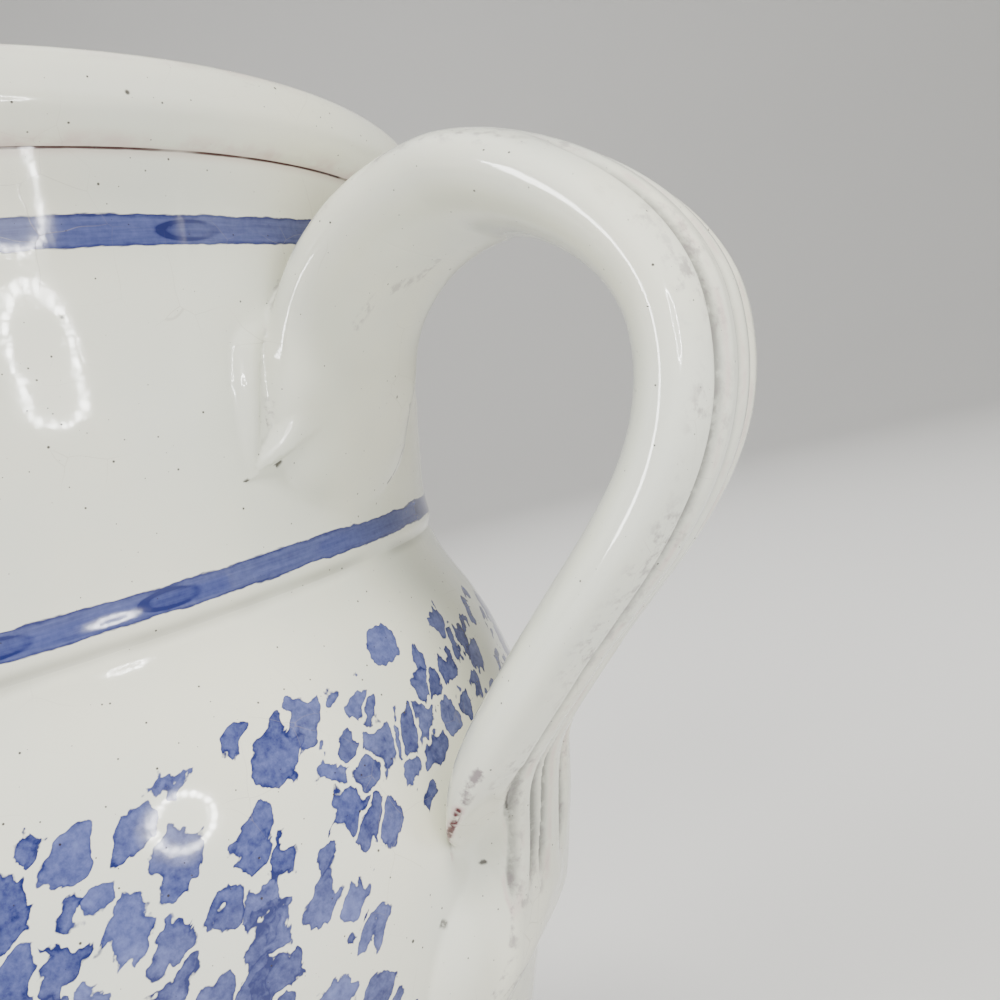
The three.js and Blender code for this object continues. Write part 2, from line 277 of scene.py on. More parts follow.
# %% [markdown]
# ## The thrown wall
# On the wheel the wall rises as one spiral of soft clay, 5 to 6 mm thick, and its outline is a
# smooth line through a few landmarks: the foot, the widest belly, the shoulder, the groove that
# parts belly and neck, the collar and the crease under the rim. The same landmarks shape the packed
# solids.

# %% Outline of the wall
LANDMARK_HEIGHTS = np.array([8, 42, 90, 110, 121.5, 143, 156, 165.7])
LANDMARK_RADII = np.array([44.5, 54.9, 67.8, 64.1, 60.1, 63.4, 65.2, 67.6])
LANDMARK_SPREADS = np.array([0.22, 0.29, 0, -0.36, 0, 0.15, 0.12, 0.34])
FOOT_TOP, BELLY_HEIGHT, GROOVE_HEIGHT, CREASE_HEIGHT, RIM_HEIGHT = 8, 90, 121.5, 165.7, 173.8
WALL = 5.5


def wall_radius(height):
    """Outer radius in mm at a height: a cubic between the landmarks on either side."""
    height = np.asarray(height, float)
    i = np.clip(np.searchsorted(LANDMARK_HEIGHTS, height) - 1, 0, len(LANDMARK_HEIGHTS) - 2)
    span = LANDMARK_HEIGHTS[i + 1] - LANDMARK_HEIGHTS[i]
    t = np.clip((height - LANDMARK_HEIGHTS[i]) / span, 0, 1)
    low = (1 + 2 * t) * (1 - t) ** 2 * LANDMARK_RADII[i]
    low += t * (1 - t) ** 2 * span * LANDMARK_SPREADS[i]
    high = t * t * (3 - 2 * t) * LANDMARK_RADII[i + 1]
    high += t * t * (t - 1) * span * LANDMARK_SPREADS[i + 1]
    return low + high


CREASE_RADIUS = float(wall_radius(CREASE_HEIGHT))
print("radius at the foot, belly and crease:",
      wall_radius([FOOT_TOP, BELLY_HEIGHT, CREASE_HEIGHT]).round(1))

# %% [markdown]
# The tree turns the profile. A grid has one row for each point of the profile and one column for
# each step round the pot, and every grid point is placed from the profile's point and its own
# angle. Its number divided by the number of rows gives the column, and the remainder gives the row.

# %% Tree that turns a profile: grid and angle
bench, given = shape_tree("turned_wall", {
    "Steps round": "Int", "Profile points": "Int", "Lip reach": "Float", "Lip foot": "Float",
    "Lip top": "Float", "Throwing rings": "Float", "Material": "Material"})
steps, count = given["Steps round"], given["Profile points"]
grid = bench.add("GeometryNodeMeshGrid", inputs={
    "Size X": 1, "Size Y": 1, "Vertices X": steps + 1, "Vertices Y": count})
index = bench.add("GeometryNodeInputIndex")
column = ((index + 0.5) / count).floor()
row = index - column * count
profile_place = bench.add("GeometryNodeSampleIndex", {"data_type": "FLOAT_VECTOR"}, {
    "Geometry": given["Geometry"], "Value": bench.add("GeometryNodeInputPosition"), "Index": row})
thrown = bench.add("GeometryNodeInputNamedAttribute", {"data_type": "FLOAT"}, {"Name": "thrown"})
thrown_here = bench.add("GeometryNodeSampleIndex", {"data_type": "FLOAT"}, {
    "Geometry": given["Geometry"], "Value": thrown, "Index": row})
radius, _, height = bench.parts(profile_place)
angle = column * (2 * math.pi) / steps
print("turned_wall so far:", len(bench.tree.nodes), "nodes")

# %% [markdown]
# The pouring lip is a smooth push outward, opposite the handle, with a slight pinch on either side,
# where two fingers hold the rim while a third pulls. The potter's fingers also leave faint rings,
# so noise that changes fast with height and slowly round the pot moves the wall by about a tenth of
# a millimetre. The two edges of the grid meet at the end and are merged there.

# %% Tree that turns a profile: lip and rings
LIP_REACH, LIP_TALL, LIP_SPREAD_DEG = 15, 38, 17
LIP_PINCH, LIP_PINCH_AT_DEG, LIP_PINCH_SPREAD_DEG = 2.2, 34, 11
LIP_SPARES = 10  # mm round the axis that the push leaves alone
ROUND_STEPS = 480
THROWING_RINGS, RINGS_ROUND, RINGS_PER_METRE, RINGS_SINK = 0.16, 0.55, 190, 0.75
MERGE_WITHIN = 1e-6


def bell(offset, spread_deg):
    return (-(offset / math.radians(spread_deg)) ** 2).exp()


away = abs(angle - math.pi)
lip = bell(away, LIP_SPREAD_DEG) * given["Lip reach"]
pinch = bell(away - math.radians(LIP_PINCH_AT_DEG), LIP_PINCH_SPREAD_DEG) * (LIP_PINCH * MM)
push = (lip - pinch) * height.rises(given["Lip foot"], given["Lip top"])
ring_place = bench.vector(angle.cos() * RINGS_ROUND, angle.sin() * RINGS_ROUND,
                          height * RINGS_PER_METRE)
rings = (bench.noise(ring_place, 1.0, 1.5) - RINGS_SINK) * given["Throwing rings"] * thrown_here
pushed = radius + push * (radius / (LIP_SPARES * MM)).at_most(1) + rings
turned_place = bench.vector(pushed * angle.cos(), pushed * angle.sin(), height)
turned = bench.add("GeometryNodeSetPosition", inputs={"Geometry": grid, "Position": turned_place})
closed = bench.add("GeometryNodeMergeByDistance", inputs={
    "Geometry": turned, "Distance": MERGE_WITHIN})
end_tree(bench, closed, given["Material"])
turning_tree = bench.tree
print("turned_wall:", len(turning_tree.nodes), "nodes")

# %% [markdown]
# Each stretch of the pot is a closed piece of its own, so its profile is a closed line: up the
# outside, over the top, down the inside and back. Rows are close together outside, where the glaze
# is painted and seen from near by, and wider apart inside. They are closest at the groove, which a
# rib of wood pressed into the turning pot: it left a sharp dip with a small ledge over it.

# %% Profile of a stretch of wall
OUTSIDE_ROW, INSIDE_ROW = 1.0, 2.8
CLOSER_WITHIN, CLOSEST_ROW = 7, 0.25
DIP_DEPTH, DIP_HALF, DIP_ABOVE = 0.42, 0.75, 0.1
LEDGE_HEIGHT, LEDGE_HALF, LEDGE_ABOVE = 0.22, 1.3, 2.1
FLOOR_FILLET = 9.0
RINGS_FADE, INSIDE_RINGS = 6, 1.6


def close_rows(low, high):
    """Heights that stand closer and closer towards the groove."""
    heights = [0.0]
    while heights[-1] < high - low:
        near = abs(GROOVE_HEIGHT - (low + heights[-1]))
        heights.append(heights[-1] + OUTSIDE_ROW * min(1, max(CLOSEST_ROW, near / CLOSER_WITHIN)))
    return low + np.array(heights) * (high - low) / heights[-1]


def turned_radius(height):
    """The wall's radius with the dip of the groove and the ledge over it."""
    dip = DIP_DEPTH * np.exp(-((height - GROOVE_HEIGHT - DIP_ABOVE) / DIP_HALF) ** 2)
    ledge = LEDGE_HEIGHT * np.exp(-((height - GROOVE_HEIGHT - LEDGE_ABOVE) / LEDGE_HALF) ** 2)
    return wall_radius(height) - dip + ledge


def wall_profile(low, high, fillet):
    """Closed profile of a stretch of wall: rows of radius, height and share of throwing rings."""
    up = close_rows(low, high)
    down = np.linspace(high, low, max(2, round((high - low) / INSIDE_ROW)) + 1)
    near_end = np.minimum(up - low, high - up)
    outside = np.column_stack([turned_radius(up), up, np.clip(near_end / RINGS_FADE, 0, 1)])
    corner = np.clip(1 - (down - low) / FLOOR_FILLET, 0, 1) if fillet else 0 * down
    inner = wall_radius(down) - WALL - FLOOR_FILLET * (1 - np.sqrt(1 - corner ** 2))
    marks = np.clip(np.minimum(down - low, high - down) / RINGS_FADE, 0, 1) * INSIDE_RINGS
    inside = np.column_stack([inner, down, marks])
    return np.vstack([outside, inside, outside[:1]])


print("rows of the belly and the neck:", len(wall_profile(FOOT_TOP, GROOVE_HEIGHT, True)),
      len(wall_profile(GROOVE_HEIGHT, CREASE_HEIGHT, False)))

# %% [markdown]
# The foot is trimmed with a loop of steel when the clay is as hard as leather: an edge with a small
# bevel at the table, a side that runs in to the wall, and a shallow hollow underneath, so that the
# pot stands on a ring and doesn't rock. The other profiles are closed lines, but this one starts
# and ends on the axis, where all points of a row merge into one.

# %% Profile of the foot
FOOT_FLARE, FOOT_BEVEL = 1.5, 1.2


def foot_profile():
    """A disc with a shallow hollow underneath."""
    radius = LANDMARK_RADII[0] + FOOT_FLARE
    hollow, ring_width = 1.6, 7
    turn = np.linspace(0, math.pi / 2, 7)
    edge = np.column_stack([radius - FOOT_BEVEL + FOOT_BEVEL * np.sin(turn),
                            FOOT_BEVEL - FOOT_BEVEL * np.cos(turn)])
    side = np.linspace(0, 1, 9)[1:, None]
    side = edge[-1] * (1 - side) + np.array([LANDMARK_RADII[0], FOOT_TOP]) * side
    under = np.array([[0, hollow], [radius - ring_width - 3, hollow],
                      [radius - ring_width - 1, 1.1], [radius - ring_width, 0]])
    floor = np.column_stack([np.linspace(LANDMARK_RADII[0], 0, 30)[1:], np.full(29, FOOT_TOP)])
    line = np.vstack([under, edge, side, floor])
    return np.column_stack([line, np.zeros(len(line))])


print("rows of the foot:", len(foot_profile()))

# %% [markdown]
# The mouth is folded over outward, which makes it strong. In section it is a rounded bar. A
# superellipse, an oval that leans towards a box, gives its top, an undercut runs in to the crease,
# and the inside is straight.

# %% Profile of the rim
RIM_OVERHANG, RIM_WIDEST_ABOVE_CREASE, RIM_UNDERCUT, RIM_SQUARENESS = 3.9, 3.8, 2.8, 2.8
RIM_RINGS = 0.35


def rim_profile():
    inside = LANDMARK_RADII[-1] - WALL
    half_width = (WALL + RIM_OVERHANG) / 2
    middle, widest = inside + half_width, inside + 2 * half_width
    half_height = RIM_HEIGHT - CREASE_HEIGHT - RIM_WIDEST_ABOVE_CREASE
    power = 2 / RIM_SQUARENESS
    down = np.linspace(1, 0, 12)[:-1]
    under = np.column_stack([widest - RIM_UNDERCUT * down ** RIM_SQUARENESS,
                             CREASE_HEIGHT + RIM_WIDEST_ABOVE_CREASE * (1 - down)])
    turn = np.linspace(0, math.pi, 40)
    c, s = np.cos(turn), np.abs(np.sin(turn))
    over = np.column_stack([middle + half_width * np.sign(c) * np.abs(c) ** power,
                            RIM_HEIGHT - half_height * (1 - s ** power)])
    inner = np.column_stack([np.full(5, inside), np.linspace(over[-1, 1], CREASE_HEIGHT, 6)[1:]])
    line = np.vstack([under, over, inner, under[:1]])
    return np.column_stack([line, np.full(len(line), RIM_RINGS)])


print("rows of the rim:", len(rim_profile()))

# %% [markdown]
# Now the four pieces are turned. They share one tree, so they fit each other all round, at the lip
# too, and each gets the glaze that belongs there.


# %% Turn the four pieces of wall
def turn_piece(name, profile, glaze):
    points = np.column_stack([profile[:, 0], 0 * profile[:, 0], profile[:, 1]])
    return run_tree(name, turning_tree, points, {"thrown": profile[:, 2]}, {
        "Steps round": ROUND_STEPS, "Profile points": len(points), "Lip reach": LIP_REACH * MM,
        "Lip foot": (RIM_HEIGHT - LIP_TALL) * MM, "Lip top": RIM_HEIGHT * MM,
        "Throwing rings": THROWING_RINGS * MM, "Material": GLAZES[glaze]})


foot = turn_piece("pot_foot", foot_profile(), "foot_glaze")
belly = turn_piece("pot_belly", wall_profile(FOOT_TOP, GROOVE_HEIGHT, True), "sponged_glaze")
neck = turn_piece("pot_neck", wall_profile(GROOVE_HEIGHT, CREASE_HEIGHT, False), "banded_glaze")
rim = turn_piece("pot_rim", rim_profile(), "plain_glaze")

# %% [markdown]
# ## The strap's line and section
# A strap handle is pulled from a lump of wet clay: the potter strokes it downwards with a wet hand,
# and the fingertips leave grooves along one face. It is stuck to the neck, bent over, and pressed
# on the belly. Its middle line runs in the plane of the handle through the same knots as the
# solids, and goes a little further into the clay of the wall at both roots. Each knot is reach,
# height, heading in degrees, and how softly the line turns before and after it.

# %% Line of the strap
LINE_KNOTS = [(55.0, 129.0, 62, 0, 5), (63.44, 144.23, 70.4, 5, 10.08), (84.1, 157.9, 0, 8.96, 5.9),
              (103.8, 138.5, -90, 10.9, 13.6), (83.7, 109.0, -135, 12.4, 22.4),
              (66.0, 76.0, -109, 25, 3), (56.5, 69.5, -150, 5, 0)]
KNOT_SHARES = [0, 0.05, 0.25, 0.5, 0.75, 1, 1]
LINE_STEPS = 60
SPLIT_REACH, SPLIT_HEIGHT = 77.0, 101.0  # where the strap's own piece begins and ends


def line_points():
    """Reach, height, heading and share at close steps along the strap's middle line."""
    t = np.linspace(0, 1, LINE_STEPS + 1)[:, None]
    rows = []
    for k, ((x0, z0, h0, _, leave), (x1, z1, h1, arrive, _)) in enumerate(
            zip(LINE_KNOTS, LINE_KNOTS[1:])):
        a, d = np.array([x0, z0]), np.array([x1, z1])
        b = a + leave * np.array([math.cos(math.radians(h0)), math.sin(math.radians(h0))])
        c = d - arrive * np.array([math.cos(math.radians(h1)), math.sin(math.radians(h1))])
        place = (1 - t) ** 3 * a + 3 * (1 - t) ** 2 * t * b + 3 * (1 - t) * t ** 2 * c + t ** 3 * d
        slope = (1 - t) ** 2 * (b - a) + 2 * (1 - t) * t * (c - b) + t ** 2 * (d - c)
        share = KNOT_SHARES[k] + (KNOT_SHARES[k + 1] - KNOT_SHARES[k]) * t
        stretch = np.column_stack([place, np.arctan2(slope[:, 1], slope[:, 0]), share])
        rows.append(stretch if k == 0 else stretch[1:])
    line = np.vstack(rows)
    line[:, 2] = np.unwrap(line[:, 2])
    return line


LINE = line_points()
LINE_LENGTHS = np.concatenate([[0], np.cumsum(np.hypot(*np.diff(LINE[:, :2], axis=0).T))])
rising, falling = slice(LINE_STEPS, 3 * LINE_STEPS), slice(4 * LINE_STEPS, None)
TOP_SPLIT = float(np.interp(SPLIT_REACH, LINE[rising, 0], LINE_LENGTHS[rising]))
LOW_SPLIT = float(np.interp(-SPLIT_HEIGHT, -LINE[falling, 1], LINE_LENGTHS[falling]))
print(f"line {LINE_LENGTHS[-1]:.0f} mm, strap from {TOP_SPLIT:.0f} to {LOW_SPLIT:.0f} mm along it")

# %% [markdown]
# Across that line the strap is a rounded bar, widest at the bulge. Four fingertips left grooves in
# its outer face. Each drifts a little on the way down, so its place is given at the top root, at
# the bulge and at the low root, and all of them begin only behind the crest, where the fingers took
# hold.

# %% Section and grooves of the strap
SECTION_WIDTHS, SECTION_THICKNESSES = (27.5, 34, 32), (8.8, 10, 8)
STRAP_SQUARENESS = 2.4
GROOVE_PATHS = [(-9.5, -11.2, -8.0), (-4.0, -4.8, -3.2), (1.5, 1.4, -0.4), (8.0, 8.2, 6.0)]
GROOVE_WIDTH, GROOVE_DEPTH, GROOVE_SHARPNESS = 4.6, 1.2, 1.3
GROOVES_START, GROOVES_FULL = 0.33, 0.43


def step(value, low, high):
    t = np.clip((value - low) / (high - low), 0, 1)
    return t * t * (3 - 2 * t)


def along_strap(share, sizes):
    """A size at a share of the strap: the top root's, the bulge's and the low root's."""
    top, bulge, low = sizes
    return top + (bulge - top) * step(share, 0, 0.5) + (low - bulge) * step(share, 0.5, 1)


def groove_share(across, share):
    """How deep the fingertips' grooves are at a place across the strap, from 0 to 1."""
    deep = 0
    for path in GROOVE_PATHS:
        away = np.abs(across - along_strap(share, path)) / (GROOVE_WIDTH / 2)
        deep = np.maximum(deep, np.clip(1 - away, 0, 1) ** GROOVE_SHARPNESS)
    return deep * step(share, GROOVES_START, GROOVES_FULL)


print("width at the bulge:", along_strap(0.5, SECTION_WIDTHS),
      "mm, depth of a groove there:", groove_share(GROOVE_PATHS[0][1], 0.5) * GROOVE_DEPTH, "mm")

# %% [markdown]
# The strap is led along its line by the second tree. The grid's columns are rings along the line,
# and its rows are points round the bar. One more ring at each end shrinks to a point and closes the
# bar.

# %% Tree that leads the strap: rings along the line
bench, given = shape_tree("pulled_strap", {
    "Rings": "Int", "Points round": "Int", "Start": "Float", "End": "Float",
    "Top width": "Float", "Bulge width": "Float", "Low width": "Float",
    "Top thickness": "Float", "Bulge thickness": "Float", "Low thickness": "Float",
    "Groove width": "Float", "Groove depth": "Float", "Hand wobble": "Float",
    "End overlap": "Float", "End shrink": "Float", "Material": "Material"})
count = given["Points round"] + 1
grid = bench.add("GeometryNodeMeshGrid", inputs={
    "Size X": 1, "Size Y": 1, "Vertices X": given["Rings"] + 2, "Vertices Y": count})
index = bench.add("GeometryNodeInputIndex")
column = ((index + 0.5) / count).floor()
angle = (index - column * count) * (2 * math.pi) / given["Points round"]
not_closing = column.at_most(1) * (given["Rings"] + 1 - column).at_most(1)
share_of_rings = ((column - 1) / (given["Rings"] - 1)).at_least(0).at_most(1)
length = given["Start"] + (given["End"] - given["Start"]) * share_of_rings
curve = bench.add("GeometryNodeMeshToCurve", inputs=(given["Geometry"],))
share_on_line = bench.add("GeometryNodeInputNamedAttribute", {"data_type": "FLOAT"},
                          {"Name": "share"})
share = bench.add("GeometryNodeSampleCurve",
                  {"mode": "LENGTH", "use_all_curves": True, "data_type": "FLOAT"},
                  {"Curves": curve, "Value": share_on_line, "Length": length})
middle = bench.other(share, "Position")
heading_x, _, heading_z = bench.parts(bench.other(share, "Tangent"))
print("pulled_strap so far:", len(bench.tree.nodes), "nodes")

# %% [markdown]
# A hand never pulls quite evenly, so slow noise makes the bar a little wider here and narrower
# there. Both ends shrink by a hair and run on inside the clay of the joins, so no edge shows where
# the pieces meet, and the wobble fades out before them.

# %% Tree that leads the strap: bar
END_OVERLAP, END_SHRINK = 1.5, 0.22
HAND_WOBBLE, WOBBLE_FADES_BY = 0.55, 14


def sized(top, bulge, low):
    first = (given[bulge] - given[top]) * share.rises(0, 0.5)
    return given[top] + first + (given[low] - given[bulge]) * share.rises(0.5, 1)


from_end = (length - given["Start"]).at_most(given["End"] - length)
shrink = given["End shrink"] * (1 - from_end.rises(0, given["End overlap"]))
middle_x, _, middle_z = bench.parts(middle)
wobble_fade = from_end.rises(given["End overlap"], WOBBLE_FADES_BY * MM)
wobble = (bench.noise(middle, 55, 1.0) - 0.5) * given["Hand wobble"] * wobble_fade
half_width = sized("Top width", "Bulge width", "Low width") / 2 + wobble - shrink
half_thickness = sized("Top thickness", "Bulge thickness", "Low thickness") / 2
half_thickness = half_thickness - abs(wobble) * 0.6 - shrink
power = 2 / STRAP_SQUARENESS
across = half_width * angle.cos().sign() * abs(angle.cos()) ** power * not_closing
out = half_thickness * angle.sin().sign() * abs(angle.sin()) ** power
print("pulled_strap so far:", len(bench.tree.nodes), "nodes")

# %% [markdown]
# The grooves are cut last, only into the outward face. How deep a groove is at a point, and how far
# round the bar the point lies, are stored as attributes, because the glaze is thin on the crests
# and the grooves get painted shade.

# %% Tree that leads the strap: grooves
drift = (bench.noise(middle, 28, 0.0) - 0.5) * given["Hand wobble"] * 2.2 * wobble_fade
groove = bench.value(0)
for top, bulge, low in GROOVE_PATHS:
    path = share.rises(0, 0.5) * (bulge - top) + share.rises(0.5, 1) * (low - bulge) + top
    away = abs(across - drift - path * MM) / (given["Groove width"] / 2)
    groove = ((1 - away).at_least(0) ** GROOVE_SHARPNESS).at_least(groove)
outward_face = angle.sin().rises(-0.05, 0.25)
groove = groove * outward_face * share.rises(GROOVES_START, GROOVES_FULL)
out = (out - groove * given["Groove depth"]) * not_closing
strap_place = bench.vector(middle_x - heading_z * out, across, middle_z + heading_x * out)
led = bench.add("GeometryNodeSetPosition", inputs={"Geometry": grid, "Position": strap_place})
marked = bench.add("GeometryNodeStoreNamedAttribute", {"data_type": "FLOAT", "domain": "POINT"},
                   {"Geometry": led, "Name": "rib", "Value": groove})
marked = bench.add("GeometryNodeStoreNamedAttribute", {"data_type": "FLOAT", "domain": "POINT"},
                   {"Geometry": marked, "Name": "outward", "Value": angle.sin()})
closed = bench.add("GeometryNodeMergeByDistance", inputs={
    "Geometry": marked, "Distance": MERGE_WITHIN})
facing_out = bench.add("GeometryNodeFlipFaces", inputs=(closed,))
end_tree(bench, facing_out, given["Material"])
strap_tree = bench.tree
print("pulled_strap:", len(strap_tree.nodes), "nodes")

# %% [markdown]
# The tree runs on the line's points, which carry their share of the way from root to root.

# %% Run the strap's tree
STRAP_RINGS, STRAP_POINTS_ROUND = 240, 200
line_in_space = np.column_stack([LINE[:, 0], 0 * LINE[:, 0], LINE[:, 1]])
strap = run_tree("strap", strap_tree, line_in_space, {"share": LINE[:, 3]}, {
    "Rings": STRAP_RINGS, "Points round": STRAP_POINTS_ROUND,
    "Start": (TOP_SPLIT - END_OVERLAP) * MM, "End": (LOW_SPLIT + END_OVERLAP) * MM,
    **{f"{name} {kind}": size * MM
       for kind, sizes in (("width", SECTION_WIDTHS), ("thickness", SECTION_THICKNESSES))
       for name, size in zip(("Top", "Bulge", "Low"), sizes)},
    "Groove width": GROOVE_WIDTH * MM, "Groove depth": GROOVE_DEPTH * MM,
    "Hand wobble": HAND_WOBBLE * MM, "End overlap": END_OVERLAP * MM,
    "End shrink": END_SHRINK * MM, "Material": GLAZES["handle_glaze"]})

# %% [markdown]
# ## The roots of the handle
# The potter presses each end of the strap on the scored wall and wipes the clay out with a thumb,
# so strap and wall run into each other. A boolean join would leave a hard edge there, and a
# sculpted one can't be changed later. A field does it well: a number at every point in space, about
# as big as the distance to the surface in mm, and below zero inside the clay. The strap's field
# comes first. It finds the nearest place on the line, then compares the point with the section
# there.

# %% Field of the strap
TONGUE_LENGTH = 8.0
RIBS_FADE = 15, 22  # mm from the line's end


def on_line(reach, height):
    """Length along the line, distance on the outward side and distance past an end, in mm."""
    reach, height = np.broadcast_arrays(reach, height)
    flat = np.column_stack([reach.ravel(), height.ravel()])
    coarse = LINE[::4, :2]
    nearest = ((flat[:, None] - coarse[None]) ** 2).sum(2).argmin(1)
    length = LINE_LENGTHS[::4][nearest]
    for _ in range(4):
        x, z, heading = (np.interp(length, LINE_LENGTHS, LINE[:, i]) for i in range(3))
        along = (flat[:, 0] - x) * np.cos(heading) + (flat[:, 1] - z) * np.sin(heading)
        length = np.clip(length + 0.8 * along, 0, LINE_LENGTHS[-1])
    x, z, heading = (np.interp(length, LINE_LENGTHS, LINE[:, i]) for i in range(3))
    dx, dz = flat[:, 0] - x, flat[:, 1] - z
    out = dz * np.cos(heading) - dx * np.sin(heading)
    past = np.abs(dx * np.cos(heading) + dz * np.sin(heading))
    return [a.reshape(reach.shape) for a in (length, out, past)]


def strap_field(length, out, past, across):
    share = np.interp(length, LINE_LENGTHS, LINE[:, 3])
    half_width = along_strap(share, SECTION_WIDTHS) / 2
    half_thickness = along_strap(share, SECTION_THICKNESSES) / 2
    fade = step(LINE_LENGTHS[-1] - length, *RIBS_FADE)
    grooved = out + np.where(out > 0, GROOVE_DEPTH * groove_share(across, share) * fade, 0)
    from_end = np.minimum(length, LINE_LENGTHS[-1] - length)
    half_width = half_width * np.sqrt(1 - (1 - np.clip(from_end / TONGUE_LENGTH, 0.06, 1)) ** 2)
    n = STRAP_SQUARENESS
    y, o = np.abs(across) + 1e-6, np.abs(grooved) + 1e-6
    level = ((y / half_width) ** n + (o / half_thickness) ** n) ** (1 / n)
    slope = level ** (1 - n) * np.hypot(y ** (n - 1) / half_width ** n,
                                        o ** (n - 1) / half_thickness ** n)
    inside = (level - 1) / slope
    return np.where(past > 0.01, np.hypot(np.maximum(inside + 1.5, 0), past) - 1.5, inside)


middle_x, middle_z = LINE[3 * LINE_STEPS, :2]
print("at the middle of the bulge:", strap_field(*on_line(middle_x, middle_z), 0.0).round(1), "mm")

# %% [markdown]
# The wall's field is the distance from its outline. A smooth minimum of the two fields melts strap
# and wall together with a fillet, as wet clay does. A few long waves stand for the unevenness of
# clay that was pressed by hand. Their seed is fixed, so they come out alike each time.


# %% Field of the wall
def wall_field(x, y, z, strokes):
    """Distance from the wall, thickened by strokes of clay drawn on it."""
    radius = wall_radius(z)
    arc = np.arctan2(y, x) * radius
    return np.hypot(x, y) - radius - lift_of(strokes, arc, z)


def melted(a, b, reach):
    """Smooth minimum of two fields."""
    h = np.clip(0.5 + 0.5 * (b - a) / reach, 0, 1)
    return b + (a - b) * h - reach * h * (1 - h)


def hand_marks(x, y, z):
    """Slight unevenness of clay pressed by hand, from a few seeded waves."""
    total = 0
    for size, (kx, ky, kz), phase in WAVES:
        total = total + size * np.sin(kx * x + ky * y + kz * z + phase)
    return total


wave_seeds = np.random.default_rng(11)
WAVES = [(amount, wave_seeds.normal(0, 1, 3) * 2 * math.pi / length, wave_seeds.uniform(0, 6.28))
         for amount, length in ((0.12, 42), (0.10, 31), (0.07, 24), (0.05, 17))]
print("waves:", len(WAVES))

# %% [markdown]
# Extra clay is drawn on the wall in strokes. A stroke is a line of points, each a distance round
# the wall, a height, a half width and a share of the stroke's thickness. It is thickest along the
# line and runs out at its edge, which may be wider on one side, and a cliff cuts it off straight.
# Away from all strokes the field's wall sinks below the real one, so the join's surface ends there
# by itself.


# %% Strokes of clay
FAR_SINK, SKIN_DEPTH = 1.7, 1.25


def stroke(path, height, edge=0.0, cliff=None, roundness=1.5, sides=(1, 1)):
    """A path of distance round, height on the wall, half width and share of the full thickness."""
    path = [point if len(point) == 4 else (*point, 1) for point in path]
    return {"path": np.array(path, float), "height": height, "edge": edge, "cliff": cliff,
            "roundness": roundness, "sides": sides}


def lift_of(strokes, arc, z):
    """How far the strokes raise the wall at places on it, in mm. Away from them it sinks."""
    lift = -FAR_SINK
    for mark in strokes:
        nearest = np.full(np.broadcast(arc, z).shape, 9.0)
        tall = np.ones_like(nearest)
        for (a0, z0, w0, t0), (a1, z1, w1, t1) in zip(mark["path"], mark["path"][1:]):
            run_a, run_z = a1 - a0, z1 - z0
            t = np.clip(((arc - a0) * run_a + (z - z0) * run_z) / (run_a ** 2 + run_z ** 2), 0, 1)
            side = np.where((arc - a0) * run_z > (z - z0) * run_a, *mark["sides"])
            away = np.hypot(arc - a0 - t * run_a, z - z0 - t * run_z) / (w0 + (w1 - w0) * t) / side
            tall = np.where(away < nearest, t0 + (t1 - t0) * t, tall)
            nearest = np.minimum(nearest, away)
        outward = np.clip((nearest - mark["edge"]) / (1 - mark["edge"]), 0, 1)
        rise = mark["height"] * tall * (1 - outward ** 2) ** mark["roundness"]
        if mark["cliff"] is not None:
            (a0, z0), (a1, z1) = mark["cliff"]
            above = ((z - z0) * (a1 - a0) - (arc - a0) * (z1 - z0)) / math.hypot(a1 - a0, z1 - z0)
            rise = rise * step(above, -0.3, 0.5)
        lift = lift + rise
    return lift


print("height of a round stroke, 0 and 2 mm from its middle:",
      (lift_of([stroke([(0, 0, 3), (1, 0, 3)], 2.0)], np.array([0.5, 0.5]), np.array([0.0, 2.0]))
       + FAR_SINK).round(2), "mm")

# %% [markdown]
# At the upper root a wedge of clay was squeezed out in front of the strap. It starts thin under the
# crest, runs down beside the strap, and ends in a foot that hangs over the wall with a small
# undercut. At the lower root there is a broad flat patch, with a swelling where the grooves end and
# a small lump.

# %% Strokes at the two roots
UNDERCUT = ((-19.2, 132.8), (-11.0, 136.6))
TOP_STROKES = [
    stroke([(0, 150, 22), (0, 147.5, 22)], 1.55, 0.6),
    stroke([(-13.4, 152.5, 1.6, 0), (-15.0, 149.6, 1.9, 0.3), (-16.1, 146.8, 2.1, 0.8),
            (-16.8, 143.5, 2.1, 1), (-17.1, 139.5, 2.1, 1), (-17.3, 134.6, 2.4, 1.1),
            (-14.0, 136.6, 2.3, 0.95), (-10.0, 139.4, 2.2, 0.4)],
           1.9, 0.0, UNDERCUT, 0.9, (1.6, 0.85)),
]
LOW_STROKES = [
    stroke([(0, 73.5, 24), (0, 66, 24)], 1.55, 0.7),
    stroke([(-8, 75, 12), (5, 75, 11)], 3.0, 0.0, None, 1.25),
    stroke([(1, 78.6, 4), (4, 77.8, 4)], 1.3),
]
print("strokes:", len(TOP_STROKES), "above,", len(LOW_STROKES), "below")

# %% [markdown]
# To turn a field into a surface, space is cut into small cubes. Every cube that the surface passes
# through gets one point, and neighbouring points are joined by quads. A voxel remesh would do that
# too, but it can't read a field, and its steps would show in the gloss. Here the points are slid
# along the field's slope until they lie on the surface, and the slope gives each point its exact
# normal.


# %% Surface of a field
def slope_of(field, places, reach=0.04):
    columns = []
    for axis in np.eye(3) * reach:
        columns.append((field(*(places + axis).T) - field(*(places - axis).T)) / (2 * reach))
    return np.column_stack(columns)


